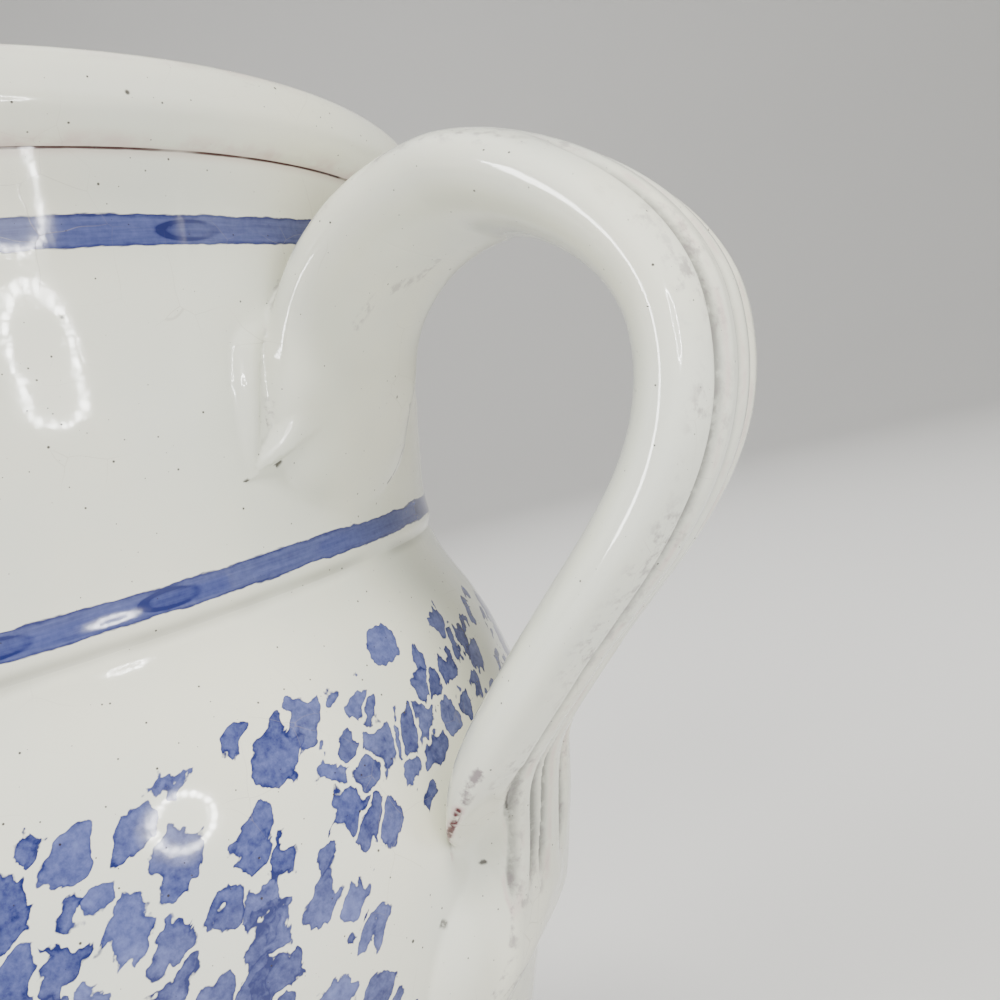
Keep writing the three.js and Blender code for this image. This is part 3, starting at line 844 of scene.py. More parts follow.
def surface_of(field, low, high, cell):
    """Points, quads and normals of the zero level of a field inside a box."""
    axes = [np.arange(a, b, cell) for a, b in zip(low, high)]
    x, y, z = axes[0][:, None, None], axes[1][None, :, None], axes[2][None, None, :]
    values = field(x, y, z)
    values[values == 0] = 1e-9
    shape = np.array(values.shape)
    sums, hits = np.zeros((*(shape - 1), 3)), np.zeros(shape - 1)
    quads = []
    cubes = np.arange(np.prod(shape - 1)).reshape(shape - 1)
    for axis in range(3):
        first = np.take(values, range(shape[axis] - 1), axis)
        second = np.take(values, range(1, shape[axis]), axis)
        crossing = np.argwhere((first < 0) != (second < 0))
        u, v = (axis + 1) % 3, (axis + 2) % 3
        inner = (crossing[:, u] > 0) & (crossing[:, v] > 0)
        inner &= (crossing[:, u] < shape[u] - 1) & (crossing[:, v] < shape[v] - 1)
        crossing = crossing[inner]
        at = tuple(crossing.T)
        share = first[at] / (first[at] - second[at])
        place = np.column_stack([axes[k][crossing[:, k]] for k in range(3)])
        place[:, axis] += share * cell
        ring = []
        for du, dv in ((1, 1), (0, 1), (0, 0), (1, 0)):
            cube = crossing.copy()
            cube[:, u] -= du
            cube[:, v] -= dv
            np.add.at(sums, tuple(cube.T), place)
            np.add.at(hits, tuple(cube.T), 1)
            ring.append(cubes[tuple(cube.T)])
        ring = np.column_stack(ring)
        leaving = first[at] < 0
        quads.append(np.where(leaving[:, None], ring, ring[:, ::-1]))
    quads = np.vstack(quads)
    used, quads = np.unique(quads, return_inverse=True)
    points = (sums.reshape(-1, 3) / np.maximum(hits.reshape(-1, 1), 1))[used]
    for _ in range(4):
        slope = slope_of(field, points)
        move = -(field(*points.T) / (slope ** 2).sum(1))[:, None] * slope
        points = points + np.clip(move, -0.5 * cell, 0.5 * cell)
    slope = slope_of(field, points)
    return points, quads.reshape(-1, 4), slope / np.linalg.norm(slope, axis=1)[:, None]


ball, ball_quads, _ = surface_of(
    lambda x, y, z: np.sqrt(x ** 2 + y ** 2 + z ** 2) - 5, (-6, -6, -6), (6.5, 6.5, 6.5), 1.0)
print(f"trial ball of 5 mm: {len(ball_quads)} quads, "
      f"{np.linalg.norm(ball, axis=1).min():.3f} to {np.linalg.norm(ball, axis=1).max():.3f} mm")

# %% [markdown]
# The points, quads and normals become a mesh. It carries marks too, one number at each point for
# each kind of mark, which the glaze reads later as attributes.


# %% Mesh of a surface
def mesh_of(name, points, faces, normals, glaze, marks):
    mesh = bpy.data.meshes.new(name)
    mesh.from_pydata((points * MM).tolist(), [], faces.tolist())
    for label, values in marks.items():
        mesh.attributes.new(label, "FLOAT", "POINT").data.foreach_set("value", values)
    mesh.shade_smooth()
    mesh.normals_split_custom_set_from_vertices(normals.tolist())
    mesh.materials.append(GLAZES[glaze])
    made = bpy.data.objects.new(name, mesh)
    bpy.context.scene.collection.objects.link(made)
    print(f"{name}: {len(points)} points, {volume(mesh) / MM ** 3 / 1000:.1f} cm3")
    return made


print("glaze of both joins:", GLAZES["handle_glaze"].name)

# %% [markdown]
# At the lower root a thumb wiped the strap's two outer corners away and left the ribs standing
# between them. The thumb is a large ball on either side that takes clay off, and its rims are
# melted soft as well. Each root is then strap and wall melted together, more softly below a certain
# height where the thumb smoothed the fillet, cut off where the strap's own piece begins and just
# under the wall's skin.

# %% Fields of the two roots
THUMB_PLACE, THUMB_REACH = (96.5, 23.9, 64.5), 40
NEAR_WIPE, FAR_WIPE = -8.1, 11.0
RIB_SOFTNESS, WIPE_SOFTNESS = 2.2, 1.4
TOP_MELT, LOW_MELT = (2.4, 4.5), (2.0, 3.2)
TOP_SOFT, LOW_SOFT = (140, 99), (88, 7)
SOFT_TALL, SOFT_WIDE = 9, 10


def wiped(bar, x, y, z):
    """The strap with its outward corners wiped away by a thumb, beside the ribs in the middle."""
    place_x, place_y, place_z = THUMB_PLACE
    away = (x - place_x) ** 2 + (np.abs(y) - place_y) ** 2 + (z - place_z) ** 2
    thumb = np.sqrt(away) - THUMB_REACH
    beside = np.abs(y - (NEAR_WIPE + FAR_WIPE) / 2) - (FAR_WIPE - NEAR_WIPE) / 2
    thumb = -melted(-thumb, beside, RIB_SOFTNESS)
    return -melted(-bar, thumb, WIPE_SOFTNESS)


def root_field(strokes, melt, soft, split, side, wipe=False):
    """Clay of one root: strap and wall melted together, more softly below and beside a place.
    Side is 1 where the strap's line leaves the root forwards, -1 backwards."""
    def field(x, y, z):
        length, out, past = on_line(x, z)
        beyond = side * (length - split)
        unevenness = hand_marks(x, y, z) * (1 - step(beyond, -9, -1))
        bar = strap_field(length, out, past, y)
        if wipe:
            bar = wiped(bar, x, y, z)
        soft_below, soft_left_of = soft
        softer = step(soft_below - z, 0, SOFT_TALL) * step(soft_left_of - y, 0, SOFT_WIDE)
        reach = melt[0] + (melt[1] - melt[0]) * softer
        body = melted(bar, wall_field(x, y, z, strokes), reach)
        body = body + unevenness + END_SHRINK * step(beyond, 0, END_OVERLAP)
        under = -SKIN_DEPTH - (np.hypot(x, y) - wall_radius(z))
        return np.maximum(np.maximum(body, beyond - END_OVERLAP), under)
    return field


top_field = root_field(TOP_STROKES, TOP_MELT, TOP_SOFT, TOP_SPLIT, 1)
low_field = root_field(LOW_STROKES, LOW_MELT, LOW_SOFT, LOW_SPLIT, -1, wipe=True)
print("both fields well outside the clay, where they are above zero:",
      top_field(*np.array([[163.0], [0], [144]])).round(0),
      low_field(*np.array([[166.0], [0], [76]])).round(0), "mm")

# %% [markdown]
# The pressing left marks: a red scar where the glaze crawled, and grey bruises and smudges. Brown
# lines in the creases and under the overhangs, where clay folded over clay, are painted shade. Each
# is a short path on the surface with a reach, and a point's number falls from 1 on the path to 0 at
# the reach. The grooves are marked as on the strap.


# %% Marks on the roots
def near_path(places, path, reach):
    """1 on a path laid on the points, in mm, falling smoothly to 0 at the reach."""
    path = np.array([places[((places - spot) ** 2).sum(1).argmin()] for spot in np.array(path)])
    closest = np.full(len(places), 1e9)
    for start, end in zip(path, path[1:]):
        run = end - start
        t = np.clip(((places - start) @ run) / max(run @ run, 1e-9), 0, 1)
        closest = np.minimum(closest, np.linalg.norm(places - start - t[:, None] * run, axis=1))
    return 1 - step(closest, 0, reach)


def root_marks(places, paths):
    """Where grooves, edges, stains and painted shade lie on a root's points."""
    x, y, z = places.T
    length, out, past = on_line(x, z)
    share = np.interp(length, LINE_LENGTHS, LINE[:, 3])
    on_strap = 1 - step(np.abs(strap_field(length, out, past, y)), 0.4, 1.1)
    fade = step(LINE_LENGTHS[-1] - length, *RIBS_FADE)
    half_thickness = along_strap(share, SECTION_THICKNESSES) / 2
    marks = {"rib": groove_share(y, share) * fade * on_strap * (out > 0),
             "outward": np.clip(out / half_thickness, -1, 1) * on_strap}
    for name, lines in paths.items():
        marks[name] = np.max([near_path(places, path, reach) for path, reach in lines], axis=0)
    return marks


# The crease and undercut paths mark painted shade: dark lines in the creases and under the
# overhangs.
TOP_PATHS = {
    "bruise": [([(62.0, -14.4, 141.4), (61.4, -14.6, 140.2), (61.0, -14.7, 139.4)], 0.8)],
    "undercut": [([(57.4, -18.9, 133.1), (59.1, -17.8, 133.9)], 0.7),
                 ([(59.1, -17.0, 133.7), (58.9, -14.8, 134.3), (60.6, -13.7, 135.0)], 0.75)],
    "crease": [([(64.6, 10.3, 138.6), (63.3, 11.0, 136.9), (61.7, 11.6, 134.2), (61.6, 9.9, 132.7),
                 (61.2, 9.2, 131.6), (61.2, 7.5, 130.6), (61.1, 5.8, 129.8)], 0.6)],
    "smudge": [([(79.5, 0.5, 153.2), (77.7, 0.7, 152.4), (75.3, 0.7, 151.5), (74.0, -1.0, 150.8),
                 (71.8, -4.7, 149.6), (69.5, -6.5, 147.3)], 1.4)]}
LOW_PATHS = {
    "scar": [([(71.9, -15.9, 96.0), (71.0, -15.6, 94.9), (70.1, -15.1, 93.7), (68.9, -14.1, 92.4),
               (66.8, -12.6, 90.2), (66.5, -12.0, 89.0)], 1.0)],
    "bruise": [([(78.9, -8.0, 99.3), (78.9, -12.2, 100.2)], 0.9),
               ([(77.2, -15.9, 100.7), (76.0, -16.2, 99.9), (74.2, -16.2, 98.5),
                 (73.0, -16.2, 97.5)], 1.0)],
    "crease": [([(74.7, -9.3, 95.0), (73.8, -8.8, 93.7), (73.2, -8.2, 92.6),
                 (72.8, -7.9, 91.3)], 0.6)],
    "undercut": [([(65.8, -14.8, 83.2), (65.9, -14.6, 83.0)], 1.1),
                 ([(68.3, -8.3, 86.5), (68.6, -8.0, 86.4)], 0.8)],
    "smudge": [([(71.2, -7.0, 81.1), (71.4, -1.9, 79.9)], 1.8)]}


print("kinds of mark:", sorted({*TOP_PATHS, *LOW_PATHS}))

# %% [markdown]
# Where the clay of a root runs out, its normals turn into the wall's own, so the gloss runs on
# without a seam. Then both surfaces are made, each in a box round its root.

# %% Surfaces of the two roots
EASE_FROM_WALL = 0.05, 0.6
TOP_BOX, TOP_CELL = ((50, -25, 112), (83, 25, 168)), 0.5
LOW_BOX, LOW_CELL = ((46, -27, 46), (94, 27, 112)), 0.55


def eased(points, normals):
    """Normals that turn into the wall's own where the clay runs out on it."""
    x, y, z = points.T
    around, slope = np.hypot(x, y), (wall_radius(z + 0.1) - wall_radius(z - 0.1)) / 0.2
    on_wall = np.column_stack([x / around, y / around, -slope])
    on_wall /= np.linalg.norm(on_wall, axis=1)[:, None]
    share = step(around - wall_radius(z), *EASE_FROM_WALL)[:, None]
    mixed_normals = normals * share + on_wall * (1 - share)
    return mixed_normals / np.linalg.norm(mixed_normals, axis=1)[:, None]


def root_piece(name, field, box, cell, paths):
    points, faces, normals = surface_of(field, *box, cell)
    return mesh_of(name, points, faces, eased(points, normals), "handle_glaze",
                   root_marks(points, paths))


top_join = root_piece("upper_root", top_field, TOP_BOX, TOP_CELL, TOP_PATHS)
low_join = root_piece("lower_root", low_field, LOW_BOX, LOW_CELL, LOW_PATHS)

# %% [markdown]
# ## Tin glaze
# Tin oxide makes a clear lead glaze white and opaque. Over an earthenware body its white is warm in
# some places and cooler in others, and pinkish where it runs thin over an edge. Cobalt is dark
# where it is thick and pale where it is thin. A grey and a dark brown also serve as painted shade
# in grooves, creases and undercuts.

# %% Colours
WARM_WHITE, COOL_WHITE = (0.77, 0.76, 0.63, 1), (0.70, 0.72, 0.635, 1)
THIN_PINK, CRAZE_GREY = (0.62, 0.49, 0.46, 1), (0.30, 0.26, 0.22, 1)
# The pit brown is the pits' own colour, and also painted shade in the roots' creases and undercuts.
PIT_AND_SHADE_BROWN, CREASE_RED = (0.025, 0.018, 0.015, 1), (0.05, 0.014, 0.013, 1)
SCAR_RED, BRUISE = (0.085, 0.006, 0.012, 1), (0.17, 0.125, 0.15, 1)
# The groove grey is painted shade, for the grooves of the shoulder and of the strap.
GROOVE_SHADE_GREY = (0.10, 0.10, 0.095, 1)
COBALT_LIGHT, COBALT_DARK = (0.14, 0.165, 0.38, 1), (0.014, 0.02, 0.11, 1)
print("the warm white is", round(WARM_WHITE[0] / WARM_WHITE[2], 2), "times as red as it is blue")

# %% [markdown]
# A few patterns serve every glaze. Voronoi cells give hairlines along their edges and round specks
# at their middles, noise gives clouds, and an attribute gives what was marked on the mesh. All of
# them work in millimetres, so a size in the text is a size on the pot.


# %% Patterns
def mixed(bench, share, a, b):
    return bench.add("ShaderNodeMix", {"data_type": "RGBA"},
                     {"Factor": share, "A": a, "B": b}, "Result")


def moved(bench, operation, *vectors):
    return bench.add("ShaderNodeVectorMath", {"operation": operation}, vectors)


def cells(bench, place, size, feature="F1"):
    """Voronoi cells of a size in mm, as shares of that size."""
    return bench.add("ShaderNodeTexVoronoi", {"feature": feature},
                     {"Vector": place, "Scale": 1 / size})


def from_edge(bench, place, size):
    """Distance from the edges between the cells, in mm."""
    return cells(bench, place, size, "DISTANCE_TO_EDGE") * size


def specks(bench, place, size, smallest, largest):
    """Round holes scattered in space, each with its own radius, as a mask."""
    made = cells(bench, place, size)
    luck, _, _ = bench.parts(bench.other(made, "Color"))
    radius = smallest + luck ** 3 * (largest - smallest)
    return 1 - (made * size / radius).rises(0.6, 1)


def attribute(bench, name):
    return bench.add("ShaderNodeAttribute", {"attribute_name": name}, output="Fac")


print("patterns: cells, edges of cells, specks, attributes")

# %% [markdown]
# The recipe goes from the bottom to the top. First comes the white, then thin places, then the
# paint, then what shows through it all: a net of hairlines, called crazing, that opens as the glaze
# cools, and the pinholes and pits that gas from the clay leaves. Stains and painted shade lie on
# top. The surface is faintly uneven like orange peel, over slow waves. Only colour, roughness and
# normal vary. The index of refraction is the same all over, so it is set on the shader itself.

# %% Recipe of the glaze
GLAZE_ROUGHNESS, SMUDGE_ROUGHNESS, PAINT_ROUGHNESS = 0.05, 0.04, 0.02
CRAZE_SIZE, CRAZE_EDGE, CRAZE_STRENGTH = 6.0, (0.008, 0.045), 0.3
CRAZE_DRIFT_SIZE, CRAZE_DRIFT = 11, 4.5
PINHOLES, PITS, HOLE_STRENGTH = (1.1, 0.04, 0.15), (6.0, 0.1, 0.36), 0.9
PEEL_SIZE, PEEL_HEIGHT, WAVE_SIZE, WAVE_HEIGHT = 1.5, 0.011, 7, 0.05
HOLE_DEPTH, CRAZE_DEPTH = 0.05, 0.004
GLAZE_IOR = 1.52


def finish_glaze(name, paint=None, thin=None, stains_and_shade=None, peel=1.0):
    """Fills a material: the glaze recipe, with paint, thin places, stains and painted shade added
    to it.
    """
    material = GLAZES[name]
    material.use_nodes = True
    tree = material.node_tree
    tree.nodes.clear()
    bench = Bench(tree)
    at = bench.add("ShaderNodeTexCoord", output="Object")
    place = bench.add("ShaderNodeVectorMath", {"operation": "SCALE"},
                      {"Vector": at, "Scale": 1 / MM})
    x, y, z = bench.parts(place)
    where = {"bench": bench, "place": place, "x": x, "y": y, "z": z}

    cloud = bench.noise(place, 1 / 26, 3.0)
    color = mixed(bench, cloud.rises(0.3, 0.7), COOL_WHITE, WARM_WHITE)
    smudge = bench.noise(place, 1 / 5, 4.0, 0.6)
    if thin:
        color = mixed(bench, thin(**where) * smudge.rises(0.42, 0.66), color, THIN_PINK)

    rough = GLAZE_ROUGHNESS + smudge * SMUDGE_ROUGHNESS
    if paint:
        mask, tone = paint(**where)
        cobalt = mixed(bench, tone, COBALT_LIGHT, COBALT_DARK)
        color = mixed(bench, mask, color, cobalt)
        rough = rough + mask * PAINT_ROUGHNESS

    drift = bench.add("ShaderNodeTexNoise", output="Color",
                      inputs={"Vector": place, "Scale": 1 / CRAZE_DRIFT_SIZE})
    wandering = moved(bench, "MULTIPLY_ADD", drift, (CRAZE_DRIFT,) * 3, place)
    craze = 1 - from_edge(bench, wandering, CRAZE_SIZE).rises(*CRAZE_EDGE)
    craze = craze * bench.noise(place, 1 / 13, 1.0).rises(0.5, 0.68)
    color = mixed(bench, craze * CRAZE_STRENGTH, color, CRAZE_GREY)
    holes = specks(bench, place, *PINHOLES).at_least(specks(bench, place, *PITS))
    color = mixed(bench, (holes * HOLE_STRENGTH).at_most(1), color, PIT_AND_SHADE_BROWN)
    # Stains, and painted shade in grooves, creases and undercuts, go on last.
    for mask, mark_colour in (stains_and_shade(**where) if stains_and_shade else []):
        color = mixed(bench, mask, color, mark_colour)

    skin = bench.noise(place, 1 / PEEL_SIZE, 2.0) * (PEEL_HEIGHT * peel)
    skin = skin + bench.noise(place, 1 / WAVE_SIZE, 1.0) * WAVE_HEIGHT
    relief = skin - holes * HOLE_DEPTH - craze * CRAZE_DEPTH
    normal = bench.add("ShaderNodeBump", inputs={"Strength": 1.0, "Distance": MM, "Height": relief})
    shader = bench.add("ShaderNodeBsdfPrincipled", inputs={
        "Base Color": color, "Roughness": rough, "Normal": normal, "IOR": GLAZE_IOR})
    end = tree.nodes.new("ShaderNodeOutputMaterial")
    tree.links.new(shader.socket, end.inputs["Surface"])
    print(f"{name}: {len(tree.nodes)} nodes")


print("widest pit:", 2 * PITS[2], "mm across")

# %% [markdown]
# The two bands are drawn with a loaded brush while the pot turns slowly on a wheel. Each wanders a
# little, its edges are frayed where the brush dragged, streaks run along it, and where the brush
# was lifted and set down again there is a small oval overlap. A band is given by its height, its
# half height, a seed and the directions of its overlaps in degrees.

# %% Brushed bands
BANDS = [(158.9, 1.45, 0.0, (-17.8, -75, 62, 140)), (124.9, 1.35, 7.0, (-26.5, -41, 18, 96, -120))]
OVERLAP_HALF_LENGTH, OVERLAP_HALF_HEIGHT, OVERLAP_RIM = 2.9, 0.85, 0.34
BAND_WANDER, BAND_WIDTH_VARIES, BAND_FRAY = 1.5, 0.8, 0.55
BAND_RADIUS = 63


def outer_face(bench, x, y):
    """1 on faces that look away from the axis, 0 inside the pot, which stays plain."""
    facing = bench.add("ShaderNodeTexCoord", output="Normal")
    facing_x, facing_y, _ = bench.parts(facing)
    return ((facing_x * x + facing_y * y) / (x * x + y * y) ** 0.5).maths("GREATER_THAN", 0.1)


def brushed_band(bench, x, y, z, middle, half, seed, overlaps):
    slow = bench.noise(bench.vector(x * 0.028, y * 0.028, seed), 1.0, 1.0) - 0.5
    width = bench.noise(bench.vector(x * 0.16, y * 0.16, seed + 3), 1.0, 2.0) - 0.5
    drag = bench.noise(bench.vector(x * 0.45, y * 0.45, z * 1.7 + seed), 1.0, 2.0, 0.6) - 0.5
    from_middle = z - middle - slow * BAND_WANDER
    inside = half + width * BAND_WIDTH_VARIES + drag * BAND_FRAY - abs(from_middle)
    streaks = bench.noise(bench.vector(x * 0.14, y * 0.14, z * 2.8), 1.0, 3.0, 0.6)
    rim_dark = 1 - inside.rises(0.02, 0.4)
    load = bench.noise(bench.vector(x * 0.06, y * 0.06, seed + 6), 1.0, 2.0)
    grain = bench.noise(bench.vector(x, y, z), 1.4, 3.0, 0.65)
    tone = streaks * 0.6 + load * 0.6 + grain * 0.4 + rim_dark * 0.4 - 0.16
    azimuth = y.maths("ARCTAN2", x)
    for degrees in overlaps:
        arc = (azimuth - math.radians(degrees)) * BAND_RADIUS
        level = (arc / OVERLAP_HALF_LENGTH) ** 2 + (from_middle / OVERLAP_HALF_HEIGHT) ** 2
        closed_end = 1 - (arc / OVERLAP_HALF_LENGTH).rises(-0.3, 1.0)
        outline = (-((level - 1) / OVERLAP_RIM) ** 2).exp() * (closed_end * 0.75 + 0.2)
        tone = tone + outline + (1 - level).rises(0, 0.6) * 0.12
    return inside.rises(-0.04, 0.1), tone.at_least(0).at_most(1)


def neck_bands(bench, place, x, y, z):
    (mask_a, tone_a), (mask_b, tone_b) = (
        brushed_band(bench, x, y, z, *band) for band in BANDS)
    mask = mask_a.at_least(mask_b) * outer_face(bench, x, y)
    return mask, tone_a * mask_a + tone_b * (1 - mask_a)


for middle_height, half_height, _, overlaps in BANDS:
    print(f"band at {middle_height} mm, {2 * half_height} mm wide, {len(overlaps)} overlaps")

# %% [markdown]
# Under the rim the glaze drew back from the crease and left a dark red hairline with a pink edge.
# It is painted by the distance from the crease's own circle, so it stays thin on both pieces that
# meet there. The groove at the shoulder gets a patchy grey line of painted shade.


# %% Crease and groove
def crease_line(bench, place, x, y, z):
    """Pink edge and dark hairline of the crease, and painted shade in the groove of the shoulder.
    """
    wander = (bench.noise(place, 1 / 2.2, 2.0) - 0.5) * 0.12
    outward = (x * x + y * y) ** 0.5 - CREASE_RADIUS
    away = (outward * outward + (z - CREASE_HEIGHT) ** 2) ** 0.5 + wander
    broken = bench.noise(place, 1 / 6, 2.0).rises(0.3, 0.5) * 0.6 + 0.4
    pink, line = (1 - away.rises(0.2, 1.1)) * 0.4, (1 - away.rises(0.08, 0.24)) * broken
    return [(pink, THIN_PINK), (line, CREASE_RED), groove_shade(bench, place, x, y, z)]


# Painted shade: a patchy grey line along the groove at the shoulder.
def groove_shade(bench, place, x, y, z):
    wander = (bench.noise(place, 1 / 9, 2.0) - 0.5) * 0.5
    line = 1 - abs(z - GROOVE_HEIGHT - 0.1 - wander).rises(0.1, 1.3)
    patchy = bench.noise(place, 1 / 14, 2.0).rises(0.3, 0.62)
    return line * patchy * outer_face(bench, x, y) * 0.34, GROOVE_SHADE_GREY


finish_glaze("banded_glaze", paint=neck_bands, stains_and_shade=crease_line)

# %% [markdown]
# The rim has no paint. Its glaze is thin and pink on top and at the crease, and hands left grey
# smudges on its outer shoulder.


# %% Rim
def rim_stains(bench, place, x, y, z):
    """Pink edge and hairline of the crease, and grey smudges on the shoulder of the roll."""
    patchy = bench.noise(bench.vector(x * 0.3, y * 0.3, z), 1.2, 4.0, 0.65).rises(0.52, 0.68)
    clouds = bench.noise(place, 1 / 15, 1.0).rises(0.42, 0.6)
    smudge = z.rises(RIM_HEIGHT - 3.4, RIM_HEIGHT - 1.4) * patchy * clouds * outer_face(bench, x, y)
    return crease_line(bench, place, x, y, z)[:2] + [(smudge * 0.5, BRUISE)]


def rim_thin(bench, place, x, y, z):
    return z.rises(RIM_HEIGHT - 2.4, RIM_HEIGHT - 0.3) * 0.75 + (
        1 - z.rises(CREASE_HEIGHT, CREASE_HEIGHT + 0.9)) * 0.7


finish_glaze("plain_glaze", thin=rim_thin, stains_and_shade=rim_stains)

# %% [markdown]
# A torn natural sponge, dipped in cobalt and pressed on the raw glaze, leaves lobed, angular dabs,
# some apart and some almost touching. The cells of a Voronoi texture have that build. Round the
# middle of each cell a dab of its own size is printed, which keeps clear of the cell's edge by a
# thin gap. The space is twisted about the axis first, so that the dabs lean, and bent by noise, so
# that they are lobed. Both are done to the place that the texture reads, which costs less than
# bending a mesh.

# %% Space of the dabs
DAB_TWIST, DAB_STRETCH = 0.006, 0.92


def leaning(bench, x, y, z):
    """Object coordinates twisted about the axis and squeezed in height."""
    radius = (x * x + y * y) ** 0.5
    azimuth = y.maths("ARCTAN2", x) - z * DAB_TWIST
    return bench.vector(radius * azimuth.cos(), radius * azimuth.sin(), z * DAB_STRETCH)


def bent(bench, place, size, amount):
    """A place shaken by noise of a size, by up to half the amount each way, in mm."""
    shake = bench.add("ShaderNodeTexNoise", output="Color", inputs={
        "Vector": place, "Scale": 1 / size, "Detail": 2.0})
    centred = moved(bench, "SUBTRACT", shake, (0.5, 0.5, 0.5))
    return moved(bench, "MULTIPLY_ADD", centred, (amount,) * 3, place)


print("a dab leans by", round(DAB_TWIST * 67, 2), "mm for each mm of height")

# %% [markdown]
# A cell's own place tells whether it is above the painted zone or too near the lower root, so a dab
# is left out as a whole. A press is given by the size of its cells, the smallest and the largest
# radius of its dabs, the gap, and the share of cells that print.

# %% One press of the sponge
FIRST_PRESS, SECOND_PRESS = (4.6, 1.3, 3.6, 0.2, 0.9), (5.2, 0.8, 3.0, 0.25, 0.46)
SECOND_SHIFT = (31.0, 17.0, 5.0)
DAB_TOP, DAB_RAGGED = 114.0, 5.5
BARE_HALF, BARE_BELOW, BARE_FADES_OVER, BARE_RADIUS = 20.0, 103, 14, 66
LEFT_OUT = 9  # mm: more than any dab's radius


def pressed(bench, place, press, shift=(0, 0, 0)):
    """Distance inside the dabs of one press, in mm, and the tone of each."""
    size, smallest, largest, gap, share = press
    place = moved(bench, "ADD", place, shift)
    found = cells(bench, place, size)
    luck, tone, tear = bench.parts(bench.other(found, "Color"))
    cell_x, cell_y, cell_z = bench.parts(bench.other(found, "Position"))
    height = (cell_z - shift[2]) / DAB_STRETCH
    azimuth = (cell_y - shift[1]).maths("ARCTAN2", cell_x - shift[0]) + height * DAB_TWIST
    too_high = height.maths("GREATER_THAN", DAB_TOP - tone * DAB_RAGGED)
    bare_half = ((BARE_BELOW - height) / BARE_FADES_OVER).at_least(0).at_most(1) * BARE_HALF
    too_near = bare_half.maths("GREATER_THAN", abs(azimuth) * BARE_RADIUS)
    blank = luck.maths("GREATER_THAN", share)
    edge = from_edge(bench, place, size) - gap
    radius = tear * (largest - smallest) + smallest
    inside = (radius - found * size).at_most(edge)
    return inside - (too_high + too_near + blank) * LEFT_OUT, tone


print(f"first press: {FIRST_PRESS[4]:.0%} of the cells, second press: {SECOND_PRESS[4]:.0%}")

# %% [markdown]
# The sponge is pressed twice, the second time more lightly, and where two dabs overlap the blue is
# deeper. A dab is darker at its rim, where the colour dried last, and mottled inside by the pores.


# %% Sponged belly
def sponge_dabs(bench, place, x, y, z):
    lean = bent(bench, bent(bench, leaning(bench, x, y, z), 3.0, 3.6), 1.3, 1.2)
    fray = (bench.noise(place, 1 / 0.6, 2.0, 0.6) - 0.5) * 0.22
    first, tone = pressed(bench, lean, FIRST_PRESS)
    second, tone_again = pressed(bench, lean, SECOND_PRESS, SECOND_SHIFT)
    first, second = first + fray, second + fray
    mask, again = first.rises(-0.04, 0.08), second.rises(-0.04, 0.08)
    mottle = bench.noise(place, 1 / 0.8, 4.0, 0.65)
    cloud = bench.noise(place, 1 / 3.0, 1.0)
    rim_dark = (1 - first.at_least(second).rises(0.03, 0.35)) * 0.34
    inner_rim = (1 - abs(second).rises(0.03, 0.3)) * mask * 0.22
    shade = tone * 0.35 * mask + tone_again * 0.35 * (1 - mask) + mottle * 1.3 + cloud * 0.7 - 0.62
    shade = shade + rim_dark + inner_rim + mask * again * 0.2
    return mask.at_least(again) * outer_face(bench, x, y), shade.at_least(0).at_most(1)


# The belly's only stain is the painted shade in the shoulder groove.
def belly_groove_shade(bench, place, x, y, z):
    return [groove_shade(bench, place, x, y, z)]


finish_glaze("sponged_glaze", paint=sponge_dabs, stains_and_shade=belly_groove_shade)

# %% [markdown]
# On the handle the glaze is thin and pink on the crests beside the grooves, and the grooves get
# painted shade. Fingers left smudges along its rounded edge, the marks of the roots are coloured by
# their kind, and their creases and undercuts get painted shade. All of it is broken up by one
# patchy noise, because no stain has a clean outline.


# %% Handle
def handle_thin(bench, place, x, y, z):
    """Thin glaze on the crests beside the grooves."""
    rib = attribute(bench, "rib")
    return rib.rises(0, 0.2) * (1 - rib.rises(0.2, 0.5)) * 0.6


def handle_stains_and_shade(bench, place, x, y, z):
    """Painted shade in the grooves, smudges along the bead, and the marks that the pressing left at
    the roots, with painted shade in their creases and undercuts.
    """
    outward, rib = attribute(bench, "outward"), attribute(bench, "rib")
    patchy = bench.noise(place, 1 / 1.6, 4.0, 0.65)
    # Painted shade in the grooves, darkest just past the near crest.
    groove = rib.rises(0.22, 0.85) * (patchy.rises(0.3, 0.5) * 0.3 + 0.5)
    along_bead = outward.rises(0.2, 0.55) * (1 - outward.rises(0.8, 0.97))
    clouds = bench.noise(place, 1 / 12, 2.0).rises(0.34, 0.58)
    smudge = along_bead * patchy.rises(0.48, 0.66) * clouds * 0.6
    bruise = attribute(bench, "bruise").rises(0, 0.6) * patchy.rises(0.42, 0.6) * 0.85
    # Painted shade under the overhangs of the roots.
    undercut = attribute(bench, "undercut").rises(0.35, 0.85) * patchy.rises(0.28, 0.48) * 0.9
    scar = attribute(bench, "scar")
    halo = scar.rises(0, 0.5) * patchy.rises(0.3, 0.55) * 0.8
    core = scar.rises(0.45, 0.85) * patchy.rises(0.28, 0.48)
    # Painted shade in the creases of the roots.
    crease = attribute(bench, "crease").rises(0.45, 0.95) * patchy.rises(0.36, 0.5) * 0.8
    faint = attribute(bench, "smudge").rises(0, 0.9) * patchy.rises(0.46, 0.6) * 0.4
    return [(groove, GROOVE_SHADE_GREY), (smudge, BRUISE), (faint, BRUISE), (bruise, BRUISE),
            (crease, PIT_AND_SHADE_BROWN), (undercut, PIT_AND_SHADE_BROWN), (halo, THIN_PINK), (core, SCAR_RED)]


finish_glaze("handle_glaze", thin=handle_thin, stains_and_shade=handle_stains_and_shade, peel=0.6)

# %% [markdown]
# The foot is wiped before the firing, or the glaze would stick to the kiln shelf, so it is thin and
# pinkish at the table.


# %% Foot
def bare_clay(bench, place, x, y, z):
    return (1 - z.rises(0.4, 1.2)) * 0.9


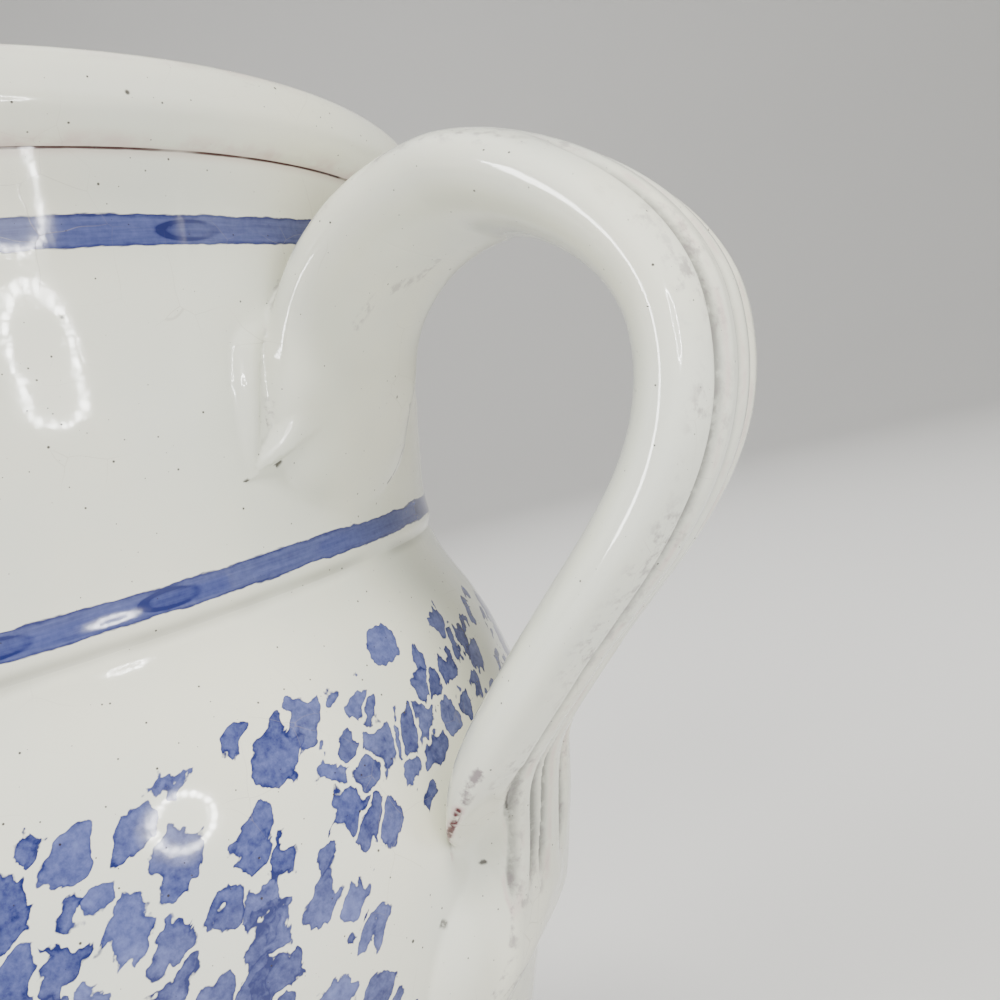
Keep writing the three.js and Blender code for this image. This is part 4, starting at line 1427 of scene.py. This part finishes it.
finish_glaze("foot_glaze", thin=bare_clay)

# %% [markdown]
# ## What rides on what
# The pitcher has one body, so every piece rides on it, and each piece stands for the solids whose
# place it takes.

# %% Ride and replace
PIECES = [(foot, "foot", "glaze_white"), (belly, "belly", "glaze_sponged"),
          (neck, "neck", "glaze_banded"), (rim, "rim_roll", "glaze_white"),
          (strap, "handle_strap", "glaze_handle"), (top_join, "handle_top_join", "glaze_handle"),
          (low_join, "handle_bottom_join", "glaze_handle")]
for piece, node, slot in PIECES:
    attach(piece, "root")
    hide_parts(node)
print("pieces:", [piece.name for piece, _, _ in PIECES])

# %% [markdown]
# ## Table, backdrop and light
# The pitcher stands on a pale table that curves up into a pale wall, as a sheet of paper does in a
# studio, so no horizon shows. It is one profile turned about the axis.

# %% Table and backdrop
SWEEP_RADIUS, SWEEP_CURVE, SWEEP_TOP, SWEEP_SIDES, CURVE_STEPS = 1.4, 0.9, 2.6, 144, 24
PAPER_COLOUR, PAPER_ROUGHNESS = (0.62, 0.615, 0.60, 1), 0.8


def sweep(radius, curve, wall_top):
    """A round floor that curves up into a wall, as one turned sheet."""
    turn = np.linspace(0, math.pi / 2, CURVE_STEPS + 1)
    profile = [(0, 0), (radius, 0)]
    profile += [(radius + curve * math.sin(a), curve - curve * math.cos(a)) for a in turn[1:]]
    profile.append((radius + curve, wall_top))
    sides = SWEEP_SIDES
    points = [(r * math.cos(2 * math.pi * i / sides), r * math.sin(2 * math.pi * i / sides), z)
              for r, z in profile[1:] for i in range(sides)]
    faces = [(k * sides + i, (k + 1) * sides + i, (k + 1) * sides + j, k * sides + j)
             for k in range(len(profile) - 2) for i in range(sides) for j in ((i + 1) % sides,)]
    faces.append(tuple(range(sides)))
    return points, [], faces


table = bpy.data.objects.new("table", bpy.data.meshes.new("table"))
table.data.from_pydata(*sweep(SWEEP_RADIUS, SWEEP_CURVE, SWEEP_TOP))
table.data.shade_smooth()
table.data.materials.append(bpy.data.materials.new("table_paper"))
table.data.materials[0].use_nodes = True
paper = table.data.materials[0].node_tree.nodes["Principled BSDF"]
paper.inputs["Base Color"].default_value = PAPER_COLOUR
paper.inputs["Roughness"].default_value = PAPER_ROUGHNESS
bpy.context.scene.collection.objects.link(table)
print("table:", len(table.data.polygons), "faces")

# %% [markdown]
# White glaze shows its shape only by soft shading and by what it mirrors, and a pale room fills
# every shadow. So the room itself is kept nearly dark, and most lamps have one task. Lamps that
# shade the clay are hidden from the gloss, apart from a faint one overhead, and lamps that are
# there to be mirrored are hidden from the shading. The camera sees none of them.

# %% Room and lamps
ROOM_COLOUR, ROOM_STRENGTH = (0.92, 0.95, 1.0, 1), 0.02
POT_MIDDLE = Vector((0.06, 0, 0.11))
LAMP_DISTANCE = 1.1

world = bpy.data.worlds.new("studio")
bpy.context.scene.world = world
world.use_nodes = True
world.node_tree.nodes["Background"].inputs["Color"].default_value = ROOM_COLOUR
world.node_tree.nodes["Background"].inputs["Strength"].default_value = ROOM_STRENGTH


def lamp(name, place, aim, size, watts, color=(1, 1, 1), tall=None):
    light = bpy.data.lights.new(name, "AREA")
    light.shape, light.size, light.energy, light.color = "DISK", size, watts, color
    if tall:
        light.shape, light.size_y = "RECTANGLE", tall
    made = bpy.data.objects.new(name, light)
    made.location = place
    made.rotation_euler = (Vector(aim) - Vector(place)).to_track_quat("-Z", "Y").to_euler()
    made.visible_camera = False
    bpy.context.scene.collection.objects.link(made)
    return made


def lamp_round(name, azimuth, elevation, size, watts, color=(1, 1, 1)):
    """A lamp that stands in a direction from the pot and isn't mirrored in the glaze."""
    turn, rise = math.radians(azimuth), math.radians(elevation)
    away = Vector((math.cos(turn) * math.cos(rise), math.sin(turn) * math.cos(rise),
                   math.sin(rise)))
    lamp(name, POT_MIDDLE + away * LAMP_DISTANCE, POT_MIDDLE, size, watts,
         color).visible_glossy = False


lamp_round("key", -40, 58, 0.35, 16, (1, 0.985, 0.94))
lamp_round("fill", -150, 20, 0.6, 14)
lamp_round("front", -100, 40, 0.5, 6)
lamp_round("side", 0, 20, 0.4, 3.5)
lamp_round("back", 110, 50, 0.6, 5)
lamp("top", (-0.2, 0.4, 1.3), POT_MIDDLE, 0.8, 1.5)
lamp("wall_wash", (-0.4, 0.6, 1.6), (-0.9, 2.0, 0.3), 1.0, 18).visible_glossy = False
lamp("strip", (-0.32, -1.0, 0.2), POT_MIDDLE, 0.12, 18, tall=1.0).visible_diffuse = False
print("lamps so far:", len(bpy.data.lights))

# %% [markdown]
# A ring lamp close to the lens was mirrored in the neck, the belly and the ridge. A ring can't be
# had as one lamp, so small ones stand in a circle. They are only mirrored, and two discs behind
# them give the ring's soft light and the faint shine inside it.

# %% Ring lamp
RING_PLACE, RING_RADIUS, RING_LAMPS = Vector((0.172, -0.081, 0.138)), 0.017, 20
RING_AIM = POT_MIDDLE + Vector((0, -0.02, 0.02))
toward = (RING_AIM - RING_PLACE).normalized()
side = toward.cross(Vector((0, 0, 1))).normalized()
for i in range(RING_LAMPS):
    turn = 2 * math.pi * i / RING_LAMPS
    spot = side * math.cos(turn) + side.cross(toward) * math.sin(turn)
    lamp(f"ring_{i:02d}", RING_PLACE + spot * RING_RADIUS, POT_MIDDLE,
         0.0036, 0.004).visible_diffuse = False
lamp("ring_glow", RING_PLACE - toward * 0.004, POT_MIDDLE, 0.056, 0.085).visible_glossy = False
lamp("ring_disc", RING_PLACE - toward * 0.006, POT_MIDDLE, 0.05, 0.018).visible_diffuse = False
print("lamps:", len(bpy.data.lights))

# %% [markdown]
# The dressed pieces have to stay inside the box of the packed solids.
